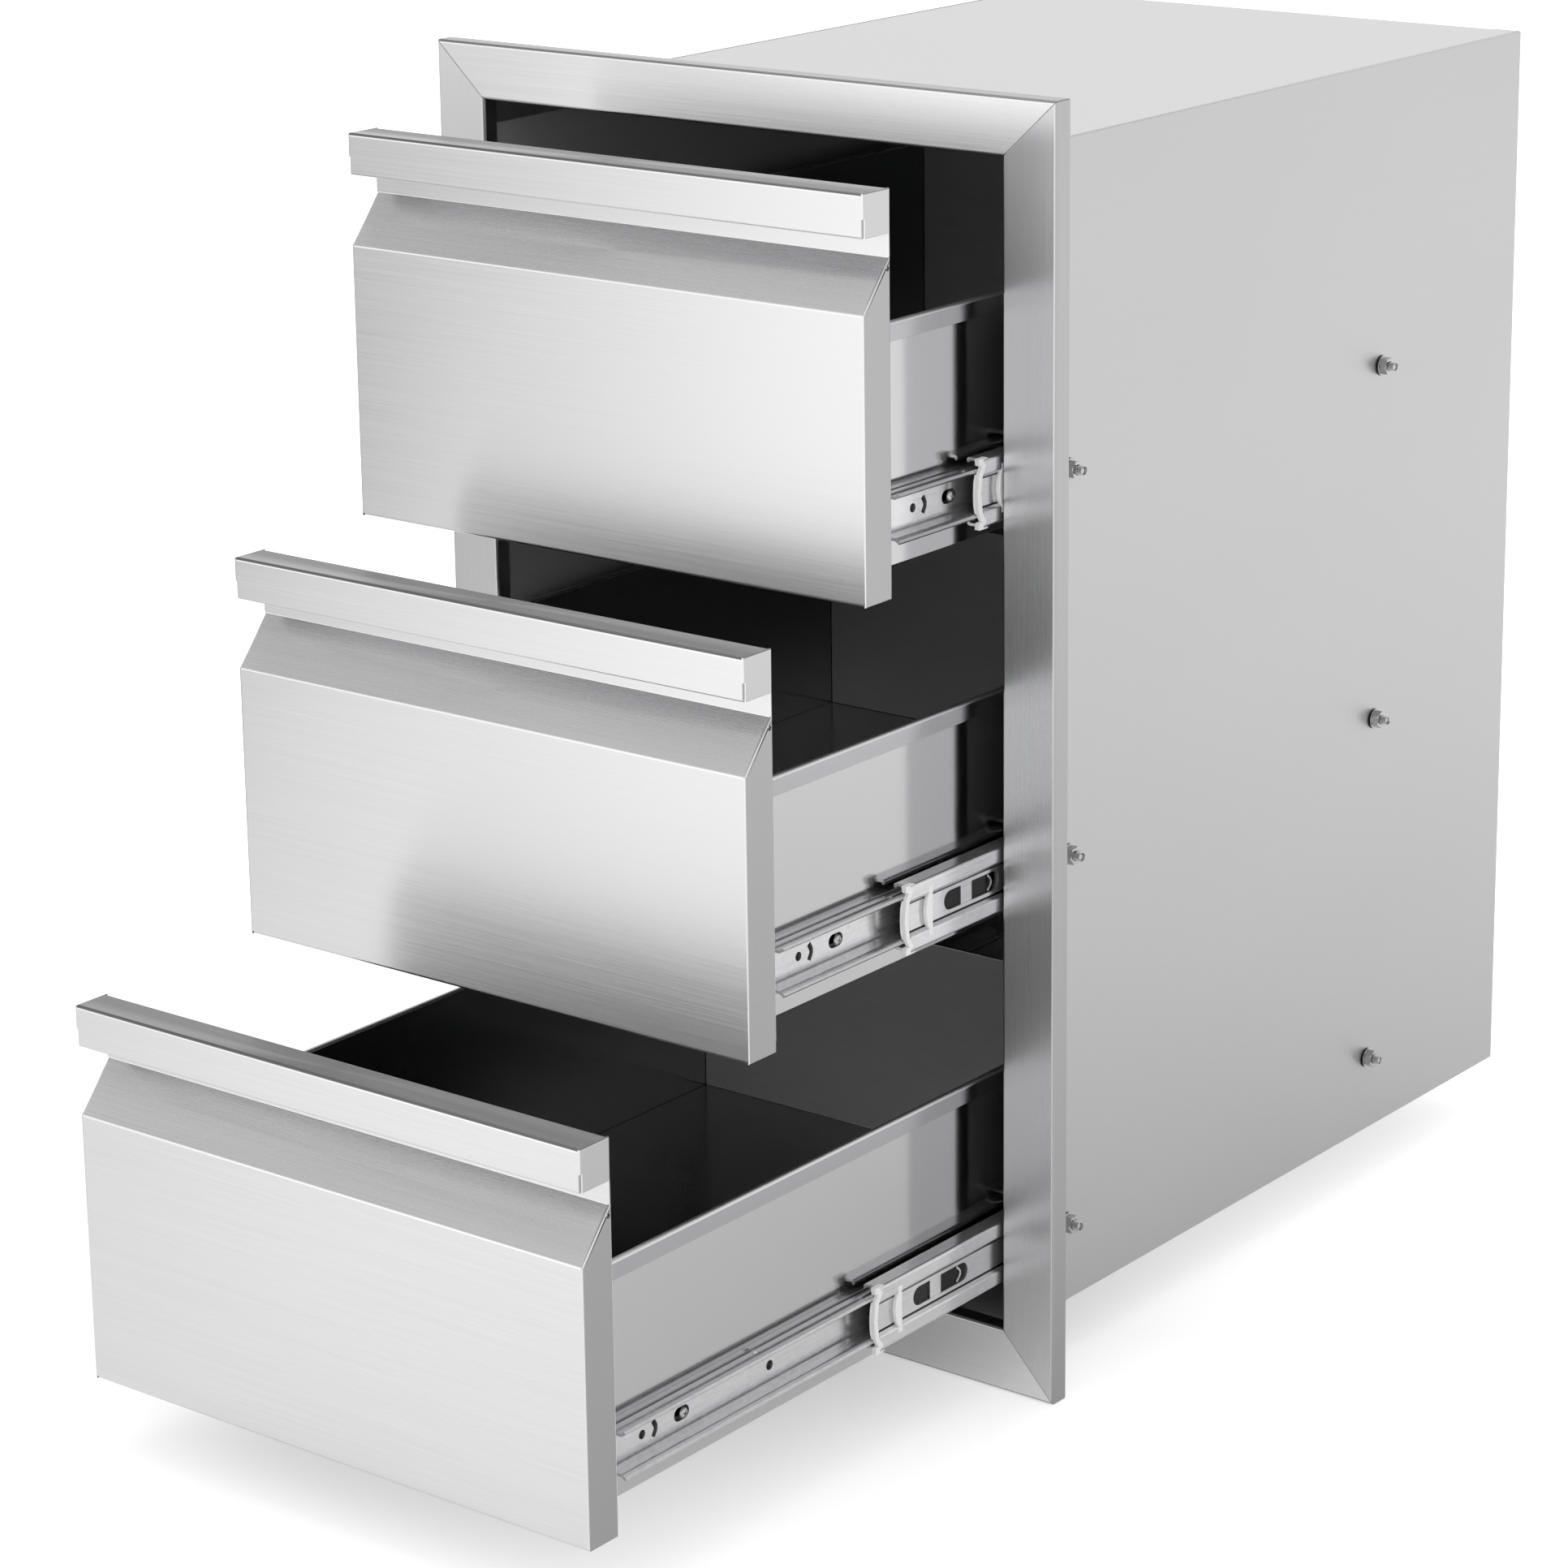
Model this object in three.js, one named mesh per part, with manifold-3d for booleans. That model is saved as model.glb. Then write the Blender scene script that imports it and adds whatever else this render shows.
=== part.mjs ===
import * as THREE from 'three';
import { mergeVertices } from 'three/addons/utils/BufferGeometryUtils.js';
import Module from 'manifold-3d';

// Built-in outdoor kitchen drawer unit: a steel cabinet behind a mitred face frame, with three
// drawers on ball bearing slides. Millimetres. X runs to the right seen from the front, Y runs
// into the cabinet and Z up. The origin is on the seat face of the face frame's bottom rail, so
// the plane Y = 0 is the face of the island that the unit is built into.

const wasm = await Module();
wasm.setup();

// Driving sizes
const seatGap = 0.2;
const cutOver = 2;
const bendSteps = 3;
const roundSides = 12;

const frame = {
  width: 322.6,
  height: 548,
  depth: 10.2,
  stile: 26,
  topRail: 24,
  bottomRail: 28,
  sheet: 1,
  seatLip: 12,
  innerReturn: 8,
  bend: 1.6,
};

const cabinet = {
  depth: 410,
  sheet: 1,
  cornerFlange: 12,
  rearFlange: 14,
  bend: 1.2,
};

const front = {
  clearance: 2.4,
  depth: 17,
  faceHeight: 115.1,
  slantTop: 135.3,
  lipBottom: 144.6,
  hemHeight: 7.6,
  sheet: 1,
  bend: 1.5,
};

const box = {
  rise: 10,
  sideHeight: 98,
  depth: 370,
  sheet: 1,
  hemHeight: 8,
  hemWidth: 2.2,
  bend: 1.5,
  linerFoot: 4,
  linerLap: 9,
};

const slide = {
  space: 12.7,
  rise: 31,
  sheet: 1.2,
  bend: 1.3,
  outerHeight: 35,
  outerReach: 10.5,
  outerLength: 356,
  middleHeight: 28,
  middleReach: 10.6,
  middleLength: 346,
  bandHeight: 6.2,
  bandStep: 1.8,
  innerHeight: 19,
  innerLength: 350,
  running: 0.7,
  frontSetback: 22,
  innerSetback: 22,
  slotLength: 38,
  slotHeight: 8.4,
  slotSetback: 25,
  holeRadius: 1.9,
  holeSetback: 24,
  curvedSlotSetback: 33,
  curvedSlotHeight: 8,
  curvedSlotWidth: 3,
};

const bumper = {
  thickness: 2,
  height: 27,
  legWidth: 3,
  plate: 0.8,
  noseGap: 0.5,
  ribSetback: 13,
  bow: 2.4,
  ribBow: 1.2,
};

const bolt = {
  radius: 2,
  play: 0.3,
  headRadius: 3.6,
  headHeight: 1.5,
  washerRadius: 4.6,
  washerThickness: 0.8,
  nutAcrossFlats: 7,
  nutHeight: 3.2,
  tip: 2.6,
  frontPlace: 44.3,
  rearPlace: 290.6,
};

// How far each drawer stands open, and the share of that travel that its middle slide members
// have made.
const drawers = [
  { name: 'top', open: 87.4, middleShare: 0.38 },
  { name: 'middle', open: 163.9, middleShare: 0.51 },
  { name: 'bottom', open: 264.7, middleShare: 0.4 },
];

// Places worked out from the driving sizes
const faceY = -frame.depth;
const frameBottom = -frame.seatLip / 2;
const frameTop = frameBottom + frame.height;
const openingHalf = frame.width / 2 - frame.stile;
const openingBottom = frameBottom + frame.bottomRail;
const openingTop = frameTop - frame.topRail;
const levels = drawers.length;
const frontHeight = (openingTop - openingBottom - front.clearance * (levels + 1)) / levels;
const frontPitch = frontHeight + front.clearance;
const frontHalf = openingHalf - front.clearance;
const wallX = openingHalf + frame.sheet + seatGap;
const wallOuterX = wallX + cabinet.sheet;
const floorZ = openingBottom - frame.sheet - seatGap;
const ceilingZ = openingTop + frame.sheet + seatGap;
const cabinetFrontY = faceY + frame.sheet + seatGap;
const cabinetBackY = faceY + cabinet.depth;
const boxHalf = wallX - slide.space;
const boxTop = box.rise + box.sideHeight;
const linerY = front.depth + seatGap;
const boxFrontY = linerY + box.sheet + seatGap;
const boxBackY = boxFrontY + box.depth;
const sides = [
  { name: 'left', sign: -1 },
  { name: 'right', sign: 1 },
];

const unit = new THREE.Group();
unit.name = 'outdoor_kitchen_drawer_unit';

// Materials
const brushedSteel = () => new THREE.MeshStandardMaterial({ color: 0xc9cacb, roughness: 0.34, metalness: 1 });
const innerSteel = () => new THREE.MeshStandardMaterial({ color: 0xa9abad, roughness: 0.3, metalness: 1 });
const zincSteel = () => new THREE.MeshStandardMaterial({ color: 0xd6d8d9, roughness: 0.26, metalness: 1 });
const whitePlastic = () => new THREE.MeshStandardMaterial({ color: 0xf1f2f0, roughness: 0.5, metalness: 0 });

function addPiece(group, name, geometry, material) {
  const mesh = new THREE.Mesh(geometry, material);
  mesh.name = name;
  group.add(mesh);
  return mesh;
}

// Solids
function toSolid(geometry) {
  const bare = geometry.clone();
  bare.deleteAttribute('normal');
  bare.deleteAttribute('uv');
  const merged = mergeVertices(bare);
  const vertProperties = new Float32Array(merged.attributes.position.array);
  const triVerts = new Uint32Array(merged.index.array);
  return new wasm.Manifold(new wasm.Mesh({ numProp: 3, vertProperties, triVerts }));
}

function toGeometry(solid) {
  const mesh = solid.getMesh();
  const geometry = new THREE.BufferGeometry();
  geometry.setAttribute('position', new THREE.BufferAttribute(new Float32Array(mesh.vertProperties), 3));
  geometry.setIndex(new THREE.BufferAttribute(new Uint32Array(mesh.triVerts), 1));
  geometry.computeVertexNormals();
  return geometry;
}

// Each basis turns a flat outline and its depth into place: the outline lies in the named plane
// and the depth runs along the remaining axis from the start that is given.
const bases = {
  yz: new THREE.Matrix4().makeBasis(
    new THREE.Vector3(0, 1, 0), new THREE.Vector3(0, 0, 1), new THREE.Vector3(1, 0, 0)),
  xz: new THREE.Matrix4().makeBasis(
    new THREE.Vector3(1, 0, 0), new THREE.Vector3(0, 0, 1), new THREE.Vector3(0, -1, 0)),
  xy: new THREE.Matrix4(),
};

function prism(plane, outline, from, to) {
  const shape = new THREE.Shape(outline.map(([u, v]) => new THREE.Vector2(u, v)));
  const geometry = new THREE.ExtrudeGeometry(shape, { depth: to - from, bevelEnabled: false });
  geometry.translate(0, 0, plane === 'xz' ? -to : from);
  geometry.applyMatrix4(bases[plane]);
  return toSolid(geometry);
}

function block(x0, x1, y0, y1, z0, z1) {
  const geometry = new THREE.BoxGeometry(x1 - x0, y1 - y0, z1 - z0);
  geometry.translate((x0 + x1) / 2, (y0 + y1) / 2, (z0 + z1) / 2);
  return toSolid(geometry);
}

// A round bar along X.
function bar(radius, x0, x1, y, z) {
  const geometry = new THREE.CylinderGeometry(radius, radius, x1 - x0, roundSides);
  geometry.rotateZ(Math.PI / 2);
  geometry.translate((x0 + x1) / 2, y, z);
  return toSolid(geometry);
}

// Rounds the inner corners of an open path of points.
function bent(path, radius) {
  const points = [path[0]];
  for (let i = 1; i < path.length - 1; i += 1) {
    const corner = new THREE.Vector2(...path[i]);
    const before = new THREE.Vector2(...path[i - 1]).sub(corner);
    const after = new THREE.Vector2(...path[i + 1]).sub(corner);
    const half = Math.acos(before.clone().normalize().dot(after.clone().normalize())) / 2;
    const reach = Math.min(radius / Math.tan(half), before.length() / 2, after.length() / 2);
    const start = corner.clone().addScaledVector(before.normalize(), reach);
    const end = corner.clone().addScaledVector(after.normalize(), reach);
    const curve = new THREE.QuadraticBezierCurve(start, corner, end);
    curve.getPoints(bendSteps).forEach((point) => points.push([point.x, point.y]));
  }
  points.push(path[path.length - 1]);
  return points;
}

// The outline of a folded sheet: the path is one face of the sheet, which lies to its left.
function folded(path, thickness) {
  const other = path.map(([u, v], i) => {
    const here = new THREE.Vector2(u, v);
    const last = new THREE.Vector2(...path[Math.max(i - 1, 0)]);
    const next = new THREE.Vector2(...path[Math.min(i + 1, path.length - 1)]);
    const into = (i > 0 ? here.clone().sub(last) : next.clone().sub(here)).normalize();
    const out = (i < path.length - 1 ? next.clone().sub(here) : into.clone()).normalize();
    const leftIn = new THREE.Vector2(-into.y, into.x);
    const leftOut = new THREE.Vector2(-out.y, out.x);
    const middle = leftIn.clone().add(leftOut).normalize();
    const shift = thickness / middle.dot(leftIn);
    return [u + middle.x * shift, v + middle.y * shift];
  });
  return [...path, ...other.reverse()];
}

// Face frame: four folded strips with mitred corners. In the strip's section, u runs inwards
// from the outer edge and v is Y.
function stripSection(width) {
  const path = [
    [frame.seatLip, 0],
    [0, 0],
    [0, faceY],
    [width, faceY],
    [width, faceY + frame.innerReturn],
  ];
  return folded(bent(path, frame.bend), frame.sheet);
}

function addFaceFrame(group) {
  const half = frame.width / 2;
  const middleZ = (frameBottom + frameTop) / 2;
  for (const [name, sign, rail] of [['bottom', 1, frame.bottomRail], ['top', -1, frame.topRail]]) {
    const edge = sign > 0 ? frameBottom : frameTop;
    const section = stripSection(rail).map(([u, v]) => [v, edge + sign * u]);
    const mitre = [
      [-half + seatGap, edge],
      [half - seatGap, edge],
      [openingHalf - seatGap, edge + sign * rail],
      [-openingHalf + seatGap, edge + sign * rail],
    ];
    const strip = prism('yz', section, -half, half);
    const wedge = prism('xz', mitre, faceY - cutOver, cutOver);
    addPiece(group, `face_frame_${name}_rail`, toGeometry(strip.intersect(wedge)), brushedSteel());
  }
  for (const { name, sign } of sides) {
    const section = stripSection(frame.stile).map(([u, v]) => [sign * (half - u), v]);
    const mitre = [
      [sign * half, frameBottom],
      [sign * half, frameTop],
      [sign * openingHalf, openingTop],
      [sign * openingHalf, openingBottom],
    ];
    const strip = prism('xy', section, frameBottom - middleZ, frameTop - middleZ);
    const wedge = prism('xz', mitre.map(([x, z]) => [x, z - middleZ]), faceY - cutOver, cutOver);
    const mesh = addPiece(group, `face_frame_${name}_stile`, toGeometry(strip.intersect(wedge)), brushedSteel());
    mesh.position.z = middleZ;
  }
}

// Cabinet: two sides that turn in at the rear, a top and a bottom with side flanges, and a back.
// The drawers are counted from the top.
const drawerZ = (index) => openingTop - (index + 1) * frontPitch;
const slideZ = (index) => drawerZ(index) + slide.rise;
const boltPlaces = [
  ['front', faceY + bolt.frontPlace],
  ['rear', faceY + bolt.rearPlace],
];

function addCabinetSide(group, { name, sign }) {
  const path = [
    [wallOuterX, cabinetFrontY],
    [wallOuterX, cabinetBackY],
    [wallOuterX - cabinet.rearFlange, cabinetBackY],
  ];
  const section = folded(bent(path, cabinet.bend), cabinet.sheet).map(([x, y]) => [sign * x, y]);
  let solid = prism('xy', section, floorZ - cabinet.sheet, ceilingZ + cabinet.sheet);
  const reach = [sign * (wallX - cutOver), sign * (wallOuterX + cutOver)].sort((a, b) => a - b);
  drawers.forEach((drawer, index) => {
    for (const [, y] of boltPlaces) {
      solid = solid.subtract(bar(bolt.radius + bolt.play, ...reach, y, slideZ(index)));
    }
  });
  addPiece(group, `cabinet_${name}_side`, toGeometry(solid), brushedSteel());
}

function addCabinetLid(group, name, innerZ, sign) {
  const half = wallX - seatGap;
  const outerZ = innerZ + sign * cabinet.sheet;
  const flangeZ = innerZ - sign * cabinet.cornerFlange;
  const middleZ = (innerZ + outerZ) / 2;
  const rearY = cabinetBackY - cabinet.sheet - seatGap;
  const flangeFrontY = faceY + frame.innerReturn + seatGap;
  const flangeRearY = rearY - cabinet.sheet - seatGap;
  const low = Math.min(innerZ, outerZ);
  let solid = block(-half, half, cabinetFrontY, rearY, low, low + cabinet.sheet);
  const flangeLow = Math.min(flangeZ, middleZ);
  const flangeHigh = Math.max(flangeZ, middleZ);
  for (const side of sides) {
    const x = [side.sign * half, side.sign * (half - cabinet.sheet)].sort((a, b) => a - b);
    solid = solid.add(block(...x, flangeFrontY, flangeRearY, flangeLow, flangeHigh));
  }
  addPiece(group, `cabinet_${name}`, toGeometry(solid), brushedSteel());
}

function addCabinetBack(group) {
  const half = wallX - seatGap;
  const rearY = cabinetBackY - cabinet.sheet - seatGap;
  const solid = block(-half, half, rearY - cabinet.sheet, rearY, floorZ + seatGap, ceilingZ - seatGap);
  addPiece(group, 'cabinet_back', toGeometry(solid), brushedSteel());
}

// Slides. In a member's section, t runs from the cabinet wall towards the drawer and z up from
// the slide's centre line.
function slideSection(path, sign, thickness) {
  return folded(bent(path, slide.bend), thickness).map(([t, z]) => [sign * (wallX - t), z]);
}

const outerFaceT = seatGap + slide.sheet;
const bandT = outerFaceT + slide.running;
const recessT = bandT + slide.bandStep;
const innerReachT = bandT + slide.sheet + slide.running;

function outerMember(sign) {
  const half = slide.outerHeight / 2;
  const path = [[slide.outerReach, half], [seatGap, half], [seatGap, -half], [slide.outerReach, -half]];
  const section = slideSection(path, sign, slide.sheet);
  let solid = prism('xz', section, 0, slide.outerLength);
  const reach = [sign * (wallX + cutOver), sign * (wallX - outerFaceT - cutOver)].sort((a, b) => a - b);
  for (const [, y] of boltPlaces) {
    const along = y - faceY - slide.frontSetback;
    solid = solid.subtract(bar(bolt.radius + bolt.play, ...reach, along, 0));
  }
  return toGeometry(solid);
}

// A slot with round ends along Y, cut through in X.
function slotCut(sign, y0, y1, height, t0, t1) {
  const radius = height / 2;
  const shape = new THREE.Shape();
  shape.absarc(y0 + radius, 0, radius, Math.PI / 2, Math.PI * 3 / 2, false);
  shape.absarc(y1 - radius, 0, radius, -Math.PI / 2, Math.PI / 2, false);
  const outline = shape.getPoints(bendSteps).slice(0, -1).map((point) => [point.x, point.y]);
  const reach = [sign * (wallX - t0), sign * (wallX - t1)].sort((a, b) => a - b);
  return prism('yz', outline, ...reach);
}

function middleMember(sign) {
  const half = slide.middleHeight / 2;
  const bandEnd = half - slide.bandHeight;
  const webHalf = bandEnd - slide.bandStep;
  const path = [
    [slide.middleReach, half],
    [bandT, half],
    [bandT, bandEnd],
    [recessT, webHalf],
    [recessT, -webHalf],
    [bandT, -bandEnd],
    [bandT, -half],
    [slide.middleReach, -half],
  ];
  const member = prism('xz', slideSection(path, sign, slide.sheet), 0, slide.middleLength);
  const slotEnd = slide.slotSetback + slide.slotLength;
  const height = Math.min(slide.slotHeight, webHalf * 2 - slide.sheet);
  const slot = slotCut(sign, slide.slotSetback, slotEnd, height, bandT, recessT + slide.sheet + cutOver);
  return toGeometry(member.subtract(slot));
}

function innerMember(sign) {
  const half = slide.innerHeight / 2;
  const webT = slide.space - seatGap;
  const path = [[innerReachT, -half], [webT, -half], [webT, half], [innerReachT, half]];
  let solid = prism('xz', slideSection(path, sign, slide.sheet), 0, slide.innerLength);
  const reach = [sign * (wallX - webT - cutOver), sign * (wallX - webT + slide.sheet + cutOver)];
  reach.sort((a, b) => a - b);
  const cuts = [
    bar(slide.holeRadius, ...reach, slide.holeSetback - slide.innerSetback + front.depth, 0),
  ];
  const slotY = slide.curvedSlotSetback - slide.innerSetback + front.depth;
  const slotHalf = slide.curvedSlotHeight / 2;
  const outline = bent([
    [slotY, -slotHalf],
    [slotY + slide.curvedSlotWidth / 2, 0],
    [slotY, slotHalf],
  ], slotHalf);
  cuts.push(prism('yz', folded(outline, slide.curvedSlotWidth), ...reach));
  cuts.forEach((cut) => {
    solid = solid.subtract(cut);
  });
  return toGeometry(solid);
}

// White end stop on the front of each middle member: a bowed bar across the member's end with
// two legs beside the lips, and a thin plate on the recessed web that carries a second bowed rib.
function bowedRib(sign, y, height, bow, t0, t1) {
  const half = height / 2;
  const curve = new THREE.QuadraticBezierCurve(
    new THREE.Vector2(y, -half), new THREE.Vector2(y - bow * 2, 0), new THREE.Vector2(y, half));
  const line = curve.getPoints(bendSteps * 2).map((point) => [point.x, point.y]);
  const ends = [sign * (wallX - t0), sign * (wallX - t1)].sort((a, b) => a - b);
  return prism('yz', folded(line, bumper.thickness), ...ends);
}

function bumperGeometry(sign) {
  const half = bumper.height / 2;
  const plateT = recessT - seatGap;
  const noseT = outerFaceT + bumper.noseGap;
  const webHalf = slide.middleHeight / 2 - slide.bandHeight - slide.bandStep;
  const legY = -seatGap - bumper.thickness;
  let solid = bowedRib(sign, -seatGap, bumper.height, bumper.bow, noseT, bandT + slide.sheet);
  for (const end of [-1, 1]) {
    const z = [end * half, end * (half - bumper.legWidth)].sort((a, b) => a - b);
    const x = [sign * (wallX - noseT), sign * (wallX - slide.middleReach)].sort((a, b) => a - b);
    solid = solid.add(block(...x, legY, -seatGap, ...z));
  }
  const plateX = [sign * (wallX - plateT), sign * (wallX - plateT + bumper.plate)].sort((a, b) => a - b);
  const plateHalf = webHalf - slide.sheet / 2;
  solid = solid.add(block(...plateX, legY, bumper.ribSetback, -plateHalf, plateHalf));
  const ribHeight = plateHalf * 2 - bumper.thickness;
  return toGeometry(solid.add(bowedRib(sign, bumper.ribSetback, ribHeight, bumper.ribBow, bandT, plateT)));
}

// Bolt, washer and nut through the cabinet wall, as one fastening.
function boltGeometry(sign) {
  const headT = outerFaceT + seatGap + bolt.headHeight;
  const underHeadT = outerFaceT + seatGap;
  const washerT = -cabinet.sheet - seatGap;
  const nutT = washerT - bolt.washerThickness;
  const nutEndT = nutT - bolt.nutHeight;
  const tipT = nutEndT - bolt.tip;
  const chamfer = bolt.radius / 4;
  const profile = [
    [0, headT],
    [bolt.headRadius - chamfer * 2, headT],
    [bolt.headRadius, headT - chamfer],
    [bolt.headRadius, underHeadT],
    [bolt.radius, underHeadT],
    [bolt.radius, washerT],
    [bolt.washerRadius, washerT],
    [bolt.washerRadius, nutT],
    [bolt.radius, nutT],
    [bolt.radius, tipT + chamfer],
    [bolt.radius - chamfer, tipT],
    [0, tipT],
  ].map(([r, t]) => new THREE.Vector2(r, -t));
  const turned = new THREE.LatheGeometry(profile, roundSides);
  const acrossCorners = bolt.nutAcrossFlats / 2 / Math.cos(Math.PI / 6);
  const nut = new THREE.CylinderGeometry(acrossCorners, acrossCorners, bolt.nutHeight + seatGap, 6);
  nut.translate(0, -(nutT + nutEndT) / 2 - seatGap / 2, 0);
  const place = new THREE.Matrix4().makeTranslation(sign * wallX, 0, 0);
  place.multiply(new THREE.Matrix4().makeRotationZ(-sign * Math.PI / 2));
  turned.applyMatrix4(place);
  nut.applyMatrix4(place);
  return toGeometry(toSolid(turned).add(toSolid(nut)));
}

// Drawer, in its own frame: y = 0 is the front face and z = 0 its bottom edge.
function frontPanel() {
  const backY = front.depth - front.sheet;
  const underTop = frontHeight - front.sheet;
  const path = [
    [front.sheet, front.lipBottom],
    [front.sheet, underTop],
    [backY, underTop],
    [backY, front.slantTop],
    [0, front.faceHeight],
    [0, 0],
    [front.depth, 0],
  ];
  let solid = prism('yz', folded(bent(path, front.bend), front.sheet), -frontHalf, frontHalf);
  const hem = block(-frontHalf, frontHalf, front.sheet / 2, front.sheet * 2,
    front.lipBottom, front.lipBottom + front.hemHeight);
  solid = solid.add(hem);
  const inset = front.sheet / 2;
  const cheek = [
    [inset, inset],
    [front.depth, inset],
    [front.depth, front.slantTop - inset * 2],
    [inset, front.faceHeight - inset],
  ];
  const lipEnd = [
    [inset, front.lipBottom],
    [front.depth - front.sheet, front.lipBottom],
    [front.depth - front.sheet, front.slantTop],
    [front.depth - inset, front.slantTop],
    [front.depth - inset, frontHeight - inset],
    [inset, frontHeight - inset],
  ];
  for (const { sign } of sides) {
    const x = [sign * frontHalf, sign * (frontHalf - front.sheet)].sort((a, b) => a - b);
    solid = solid.add(prism('yz', cheek, ...x)).add(prism('yz', lipEnd, ...x));
  }
  return toGeometry(solid);
}

function boxSide(sign) {
  const innerX = boxHalf - box.sheet;
  const hemX = boxHalf + box.hemWidth;
  const hemZ = boxTop - box.hemHeight;
  const chamfer = box.sheet / 2;
  const outline = [
    [innerX, box.rise],
    [boxHalf, box.rise],
    [boxHalf, hemZ],
    [hemX, hemZ],
    [hemX, boxTop - chamfer],
    [hemX - chamfer, boxTop],
    [innerX, boxTop],
  ].map(([x, z]) => [sign * x, z]);
  return toGeometry(prism('xz', outline, boxFrontY, boxBackY));
}

function boxFloorAndBack() {
  const half = boxHalf - box.sheet - seatGap;
  const path = [[boxFrontY, box.rise], [boxBackY, box.rise], [boxBackY, boxTop]];
  return toGeometry(prism('yz', folded(bent(path, box.bend), box.sheet), -half, half));
}

function boxLiner() {
  const half = frontHalf - front.sheet - seatGap;
  const top = front.slantTop + box.linerLap;
  return toGeometry(block(-half, half, linerY, linerY + box.sheet, box.linerFoot, top));
}

function addDrawer(group, { name, open, middleShare }, index) {
  const z = drawerZ(index);
  const body = new THREE.Group();
  body.position.set(0, faceY - open, z);
  addPiece(body, `drawer_${name}_front_panel`, frontPanel(), brushedSteel());
  addPiece(body, `drawer_${name}_front_liner`, boxLiner(), innerSteel());
  addPiece(body, `drawer_${name}_floor_and_back`, boxFloorAndBack(), innerSteel());
  for (const side of sides) {
    addPiece(body, `drawer_${name}_${side.name}_wall`, boxSide(side.sign), brushedSteel());
    const inner = addPiece(body, `slide_${name}_${side.name}_inner`, innerMember(side.sign), zincSteel());
    inner.position.set(0, slide.innerSetback, slide.rise);
    const outer = addPiece(group, `slide_${name}_${side.name}_outer`, outerMember(side.sign), zincSteel());
    outer.position.set(0, faceY + slide.frontSetback, slideZ(index));
    const middleY = faceY + slide.frontSetback - open * middleShare;
    const carriage = new THREE.Group();
    carriage.position.set(0, middleY, slideZ(index));
    addPiece(carriage, `slide_${name}_${side.name}_middle`, middleMember(side.sign), zincSteel());
    addPiece(carriage, `slide_${name}_${side.name}_end_stop`, bumperGeometry(side.sign), whitePlastic());
    group.add(carriage);
    for (const [place, y] of boltPlaces) {
      const mesh = addPiece(group, `slide_bolt_${name}_${side.name}_${place}`, boltGeometry(side.sign), zincSteel());
      mesh.position.set(0, y, slideZ(index));
    }
  }
  group.add(body);
}

addFaceFrame(unit);
sides.forEach((side) => addCabinetSide(unit, side));
addCabinetLid(unit, 'top', ceilingZ, 1);
addCabinetLid(unit, 'bottom', floorZ, -1);
addCabinetBack(unit);
drawers.forEach((drawer, index) => addDrawer(unit, drawer, index));

export default unit;
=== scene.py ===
"""Looks of a built-in outdoor kitchen drawer unit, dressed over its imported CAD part.

Lengths are metres. X runs to the right seen from the front, Y into the cabinet and Z up.
Each piece is modelled in place, so every finished object sits at the origin.
"""
import math

import bmesh
import bpy
from mathutils import Matrix, Vector
from mathutils.geometry import tessellate_polygon


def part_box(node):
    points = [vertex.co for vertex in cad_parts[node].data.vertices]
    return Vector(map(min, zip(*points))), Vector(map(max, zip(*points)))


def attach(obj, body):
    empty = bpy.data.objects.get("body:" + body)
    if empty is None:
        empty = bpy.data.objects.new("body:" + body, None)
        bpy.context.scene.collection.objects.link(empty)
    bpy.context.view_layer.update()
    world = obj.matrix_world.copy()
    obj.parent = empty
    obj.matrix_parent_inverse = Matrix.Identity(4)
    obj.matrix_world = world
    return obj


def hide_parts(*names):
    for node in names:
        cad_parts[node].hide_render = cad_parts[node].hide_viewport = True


bl_info = {
    "name": "Outdoor kitchen drawer unit",
    "version": (1, 0, 0),
    "blender": (4, 5, 0),
    "location": "3D Viewport > Sidebar > Drawer unit",
    "description": "Dresses the packed drawer unit with its folded sheets, slides and fastenings",
    "category": "Object",
}

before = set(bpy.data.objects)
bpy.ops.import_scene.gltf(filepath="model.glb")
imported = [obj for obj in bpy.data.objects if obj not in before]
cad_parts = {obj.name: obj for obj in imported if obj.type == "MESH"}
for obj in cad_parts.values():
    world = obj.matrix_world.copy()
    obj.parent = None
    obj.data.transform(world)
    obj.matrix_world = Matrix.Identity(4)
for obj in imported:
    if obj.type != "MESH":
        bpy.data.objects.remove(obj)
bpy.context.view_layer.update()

MM = 0.001
DRAWERS = ("top", "middle", "bottom")
SIDES = (("left", -1), ("right", 1))
BEND_STEPS = 7
SHARP = math.radians(32)
# An arc takes no more than this share of a straight piece beside it
ARC_SHARE = 0.49
# The share of a face's normal that lies along an axis, from which the face counts as facing that way
SQUARE_ON, FLAT_ON = 0.7, 0.9


# Places read from the frame
def low(node):
    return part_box(node)[0]


def high(node):
    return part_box(node)[1]


def half_height(node):
    return (high(node).z - low(node).z) / 2


FACE_Y = low("face_frame_left_stile").y
HALF_WIDTH = high("face_frame_right_stile").x
FRAME_BOTTOM = low("face_frame_left_stile").z
FRAME_TOP = high("face_frame_left_stile").z
STILE = high("face_frame_left_stile").x + HALF_WIDTH
WALL_OUTER_X = high("cabinet_right_side").x
CABINET_SHEET = 1 * MM
WALL_X = WALL_OUTER_X - CABINET_SHEET
SLIDE_WIDTH = 12.7 * MM
BOX_HALF = WALL_X - SLIDE_WIDTH


# Flat outlines
def in_mm(points, u=0.0, v=0.0):
    """Points written in millimetres, set off from a place in metres."""
    return [(u + a * MM, v + b * MM) for a, b in points]


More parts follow.
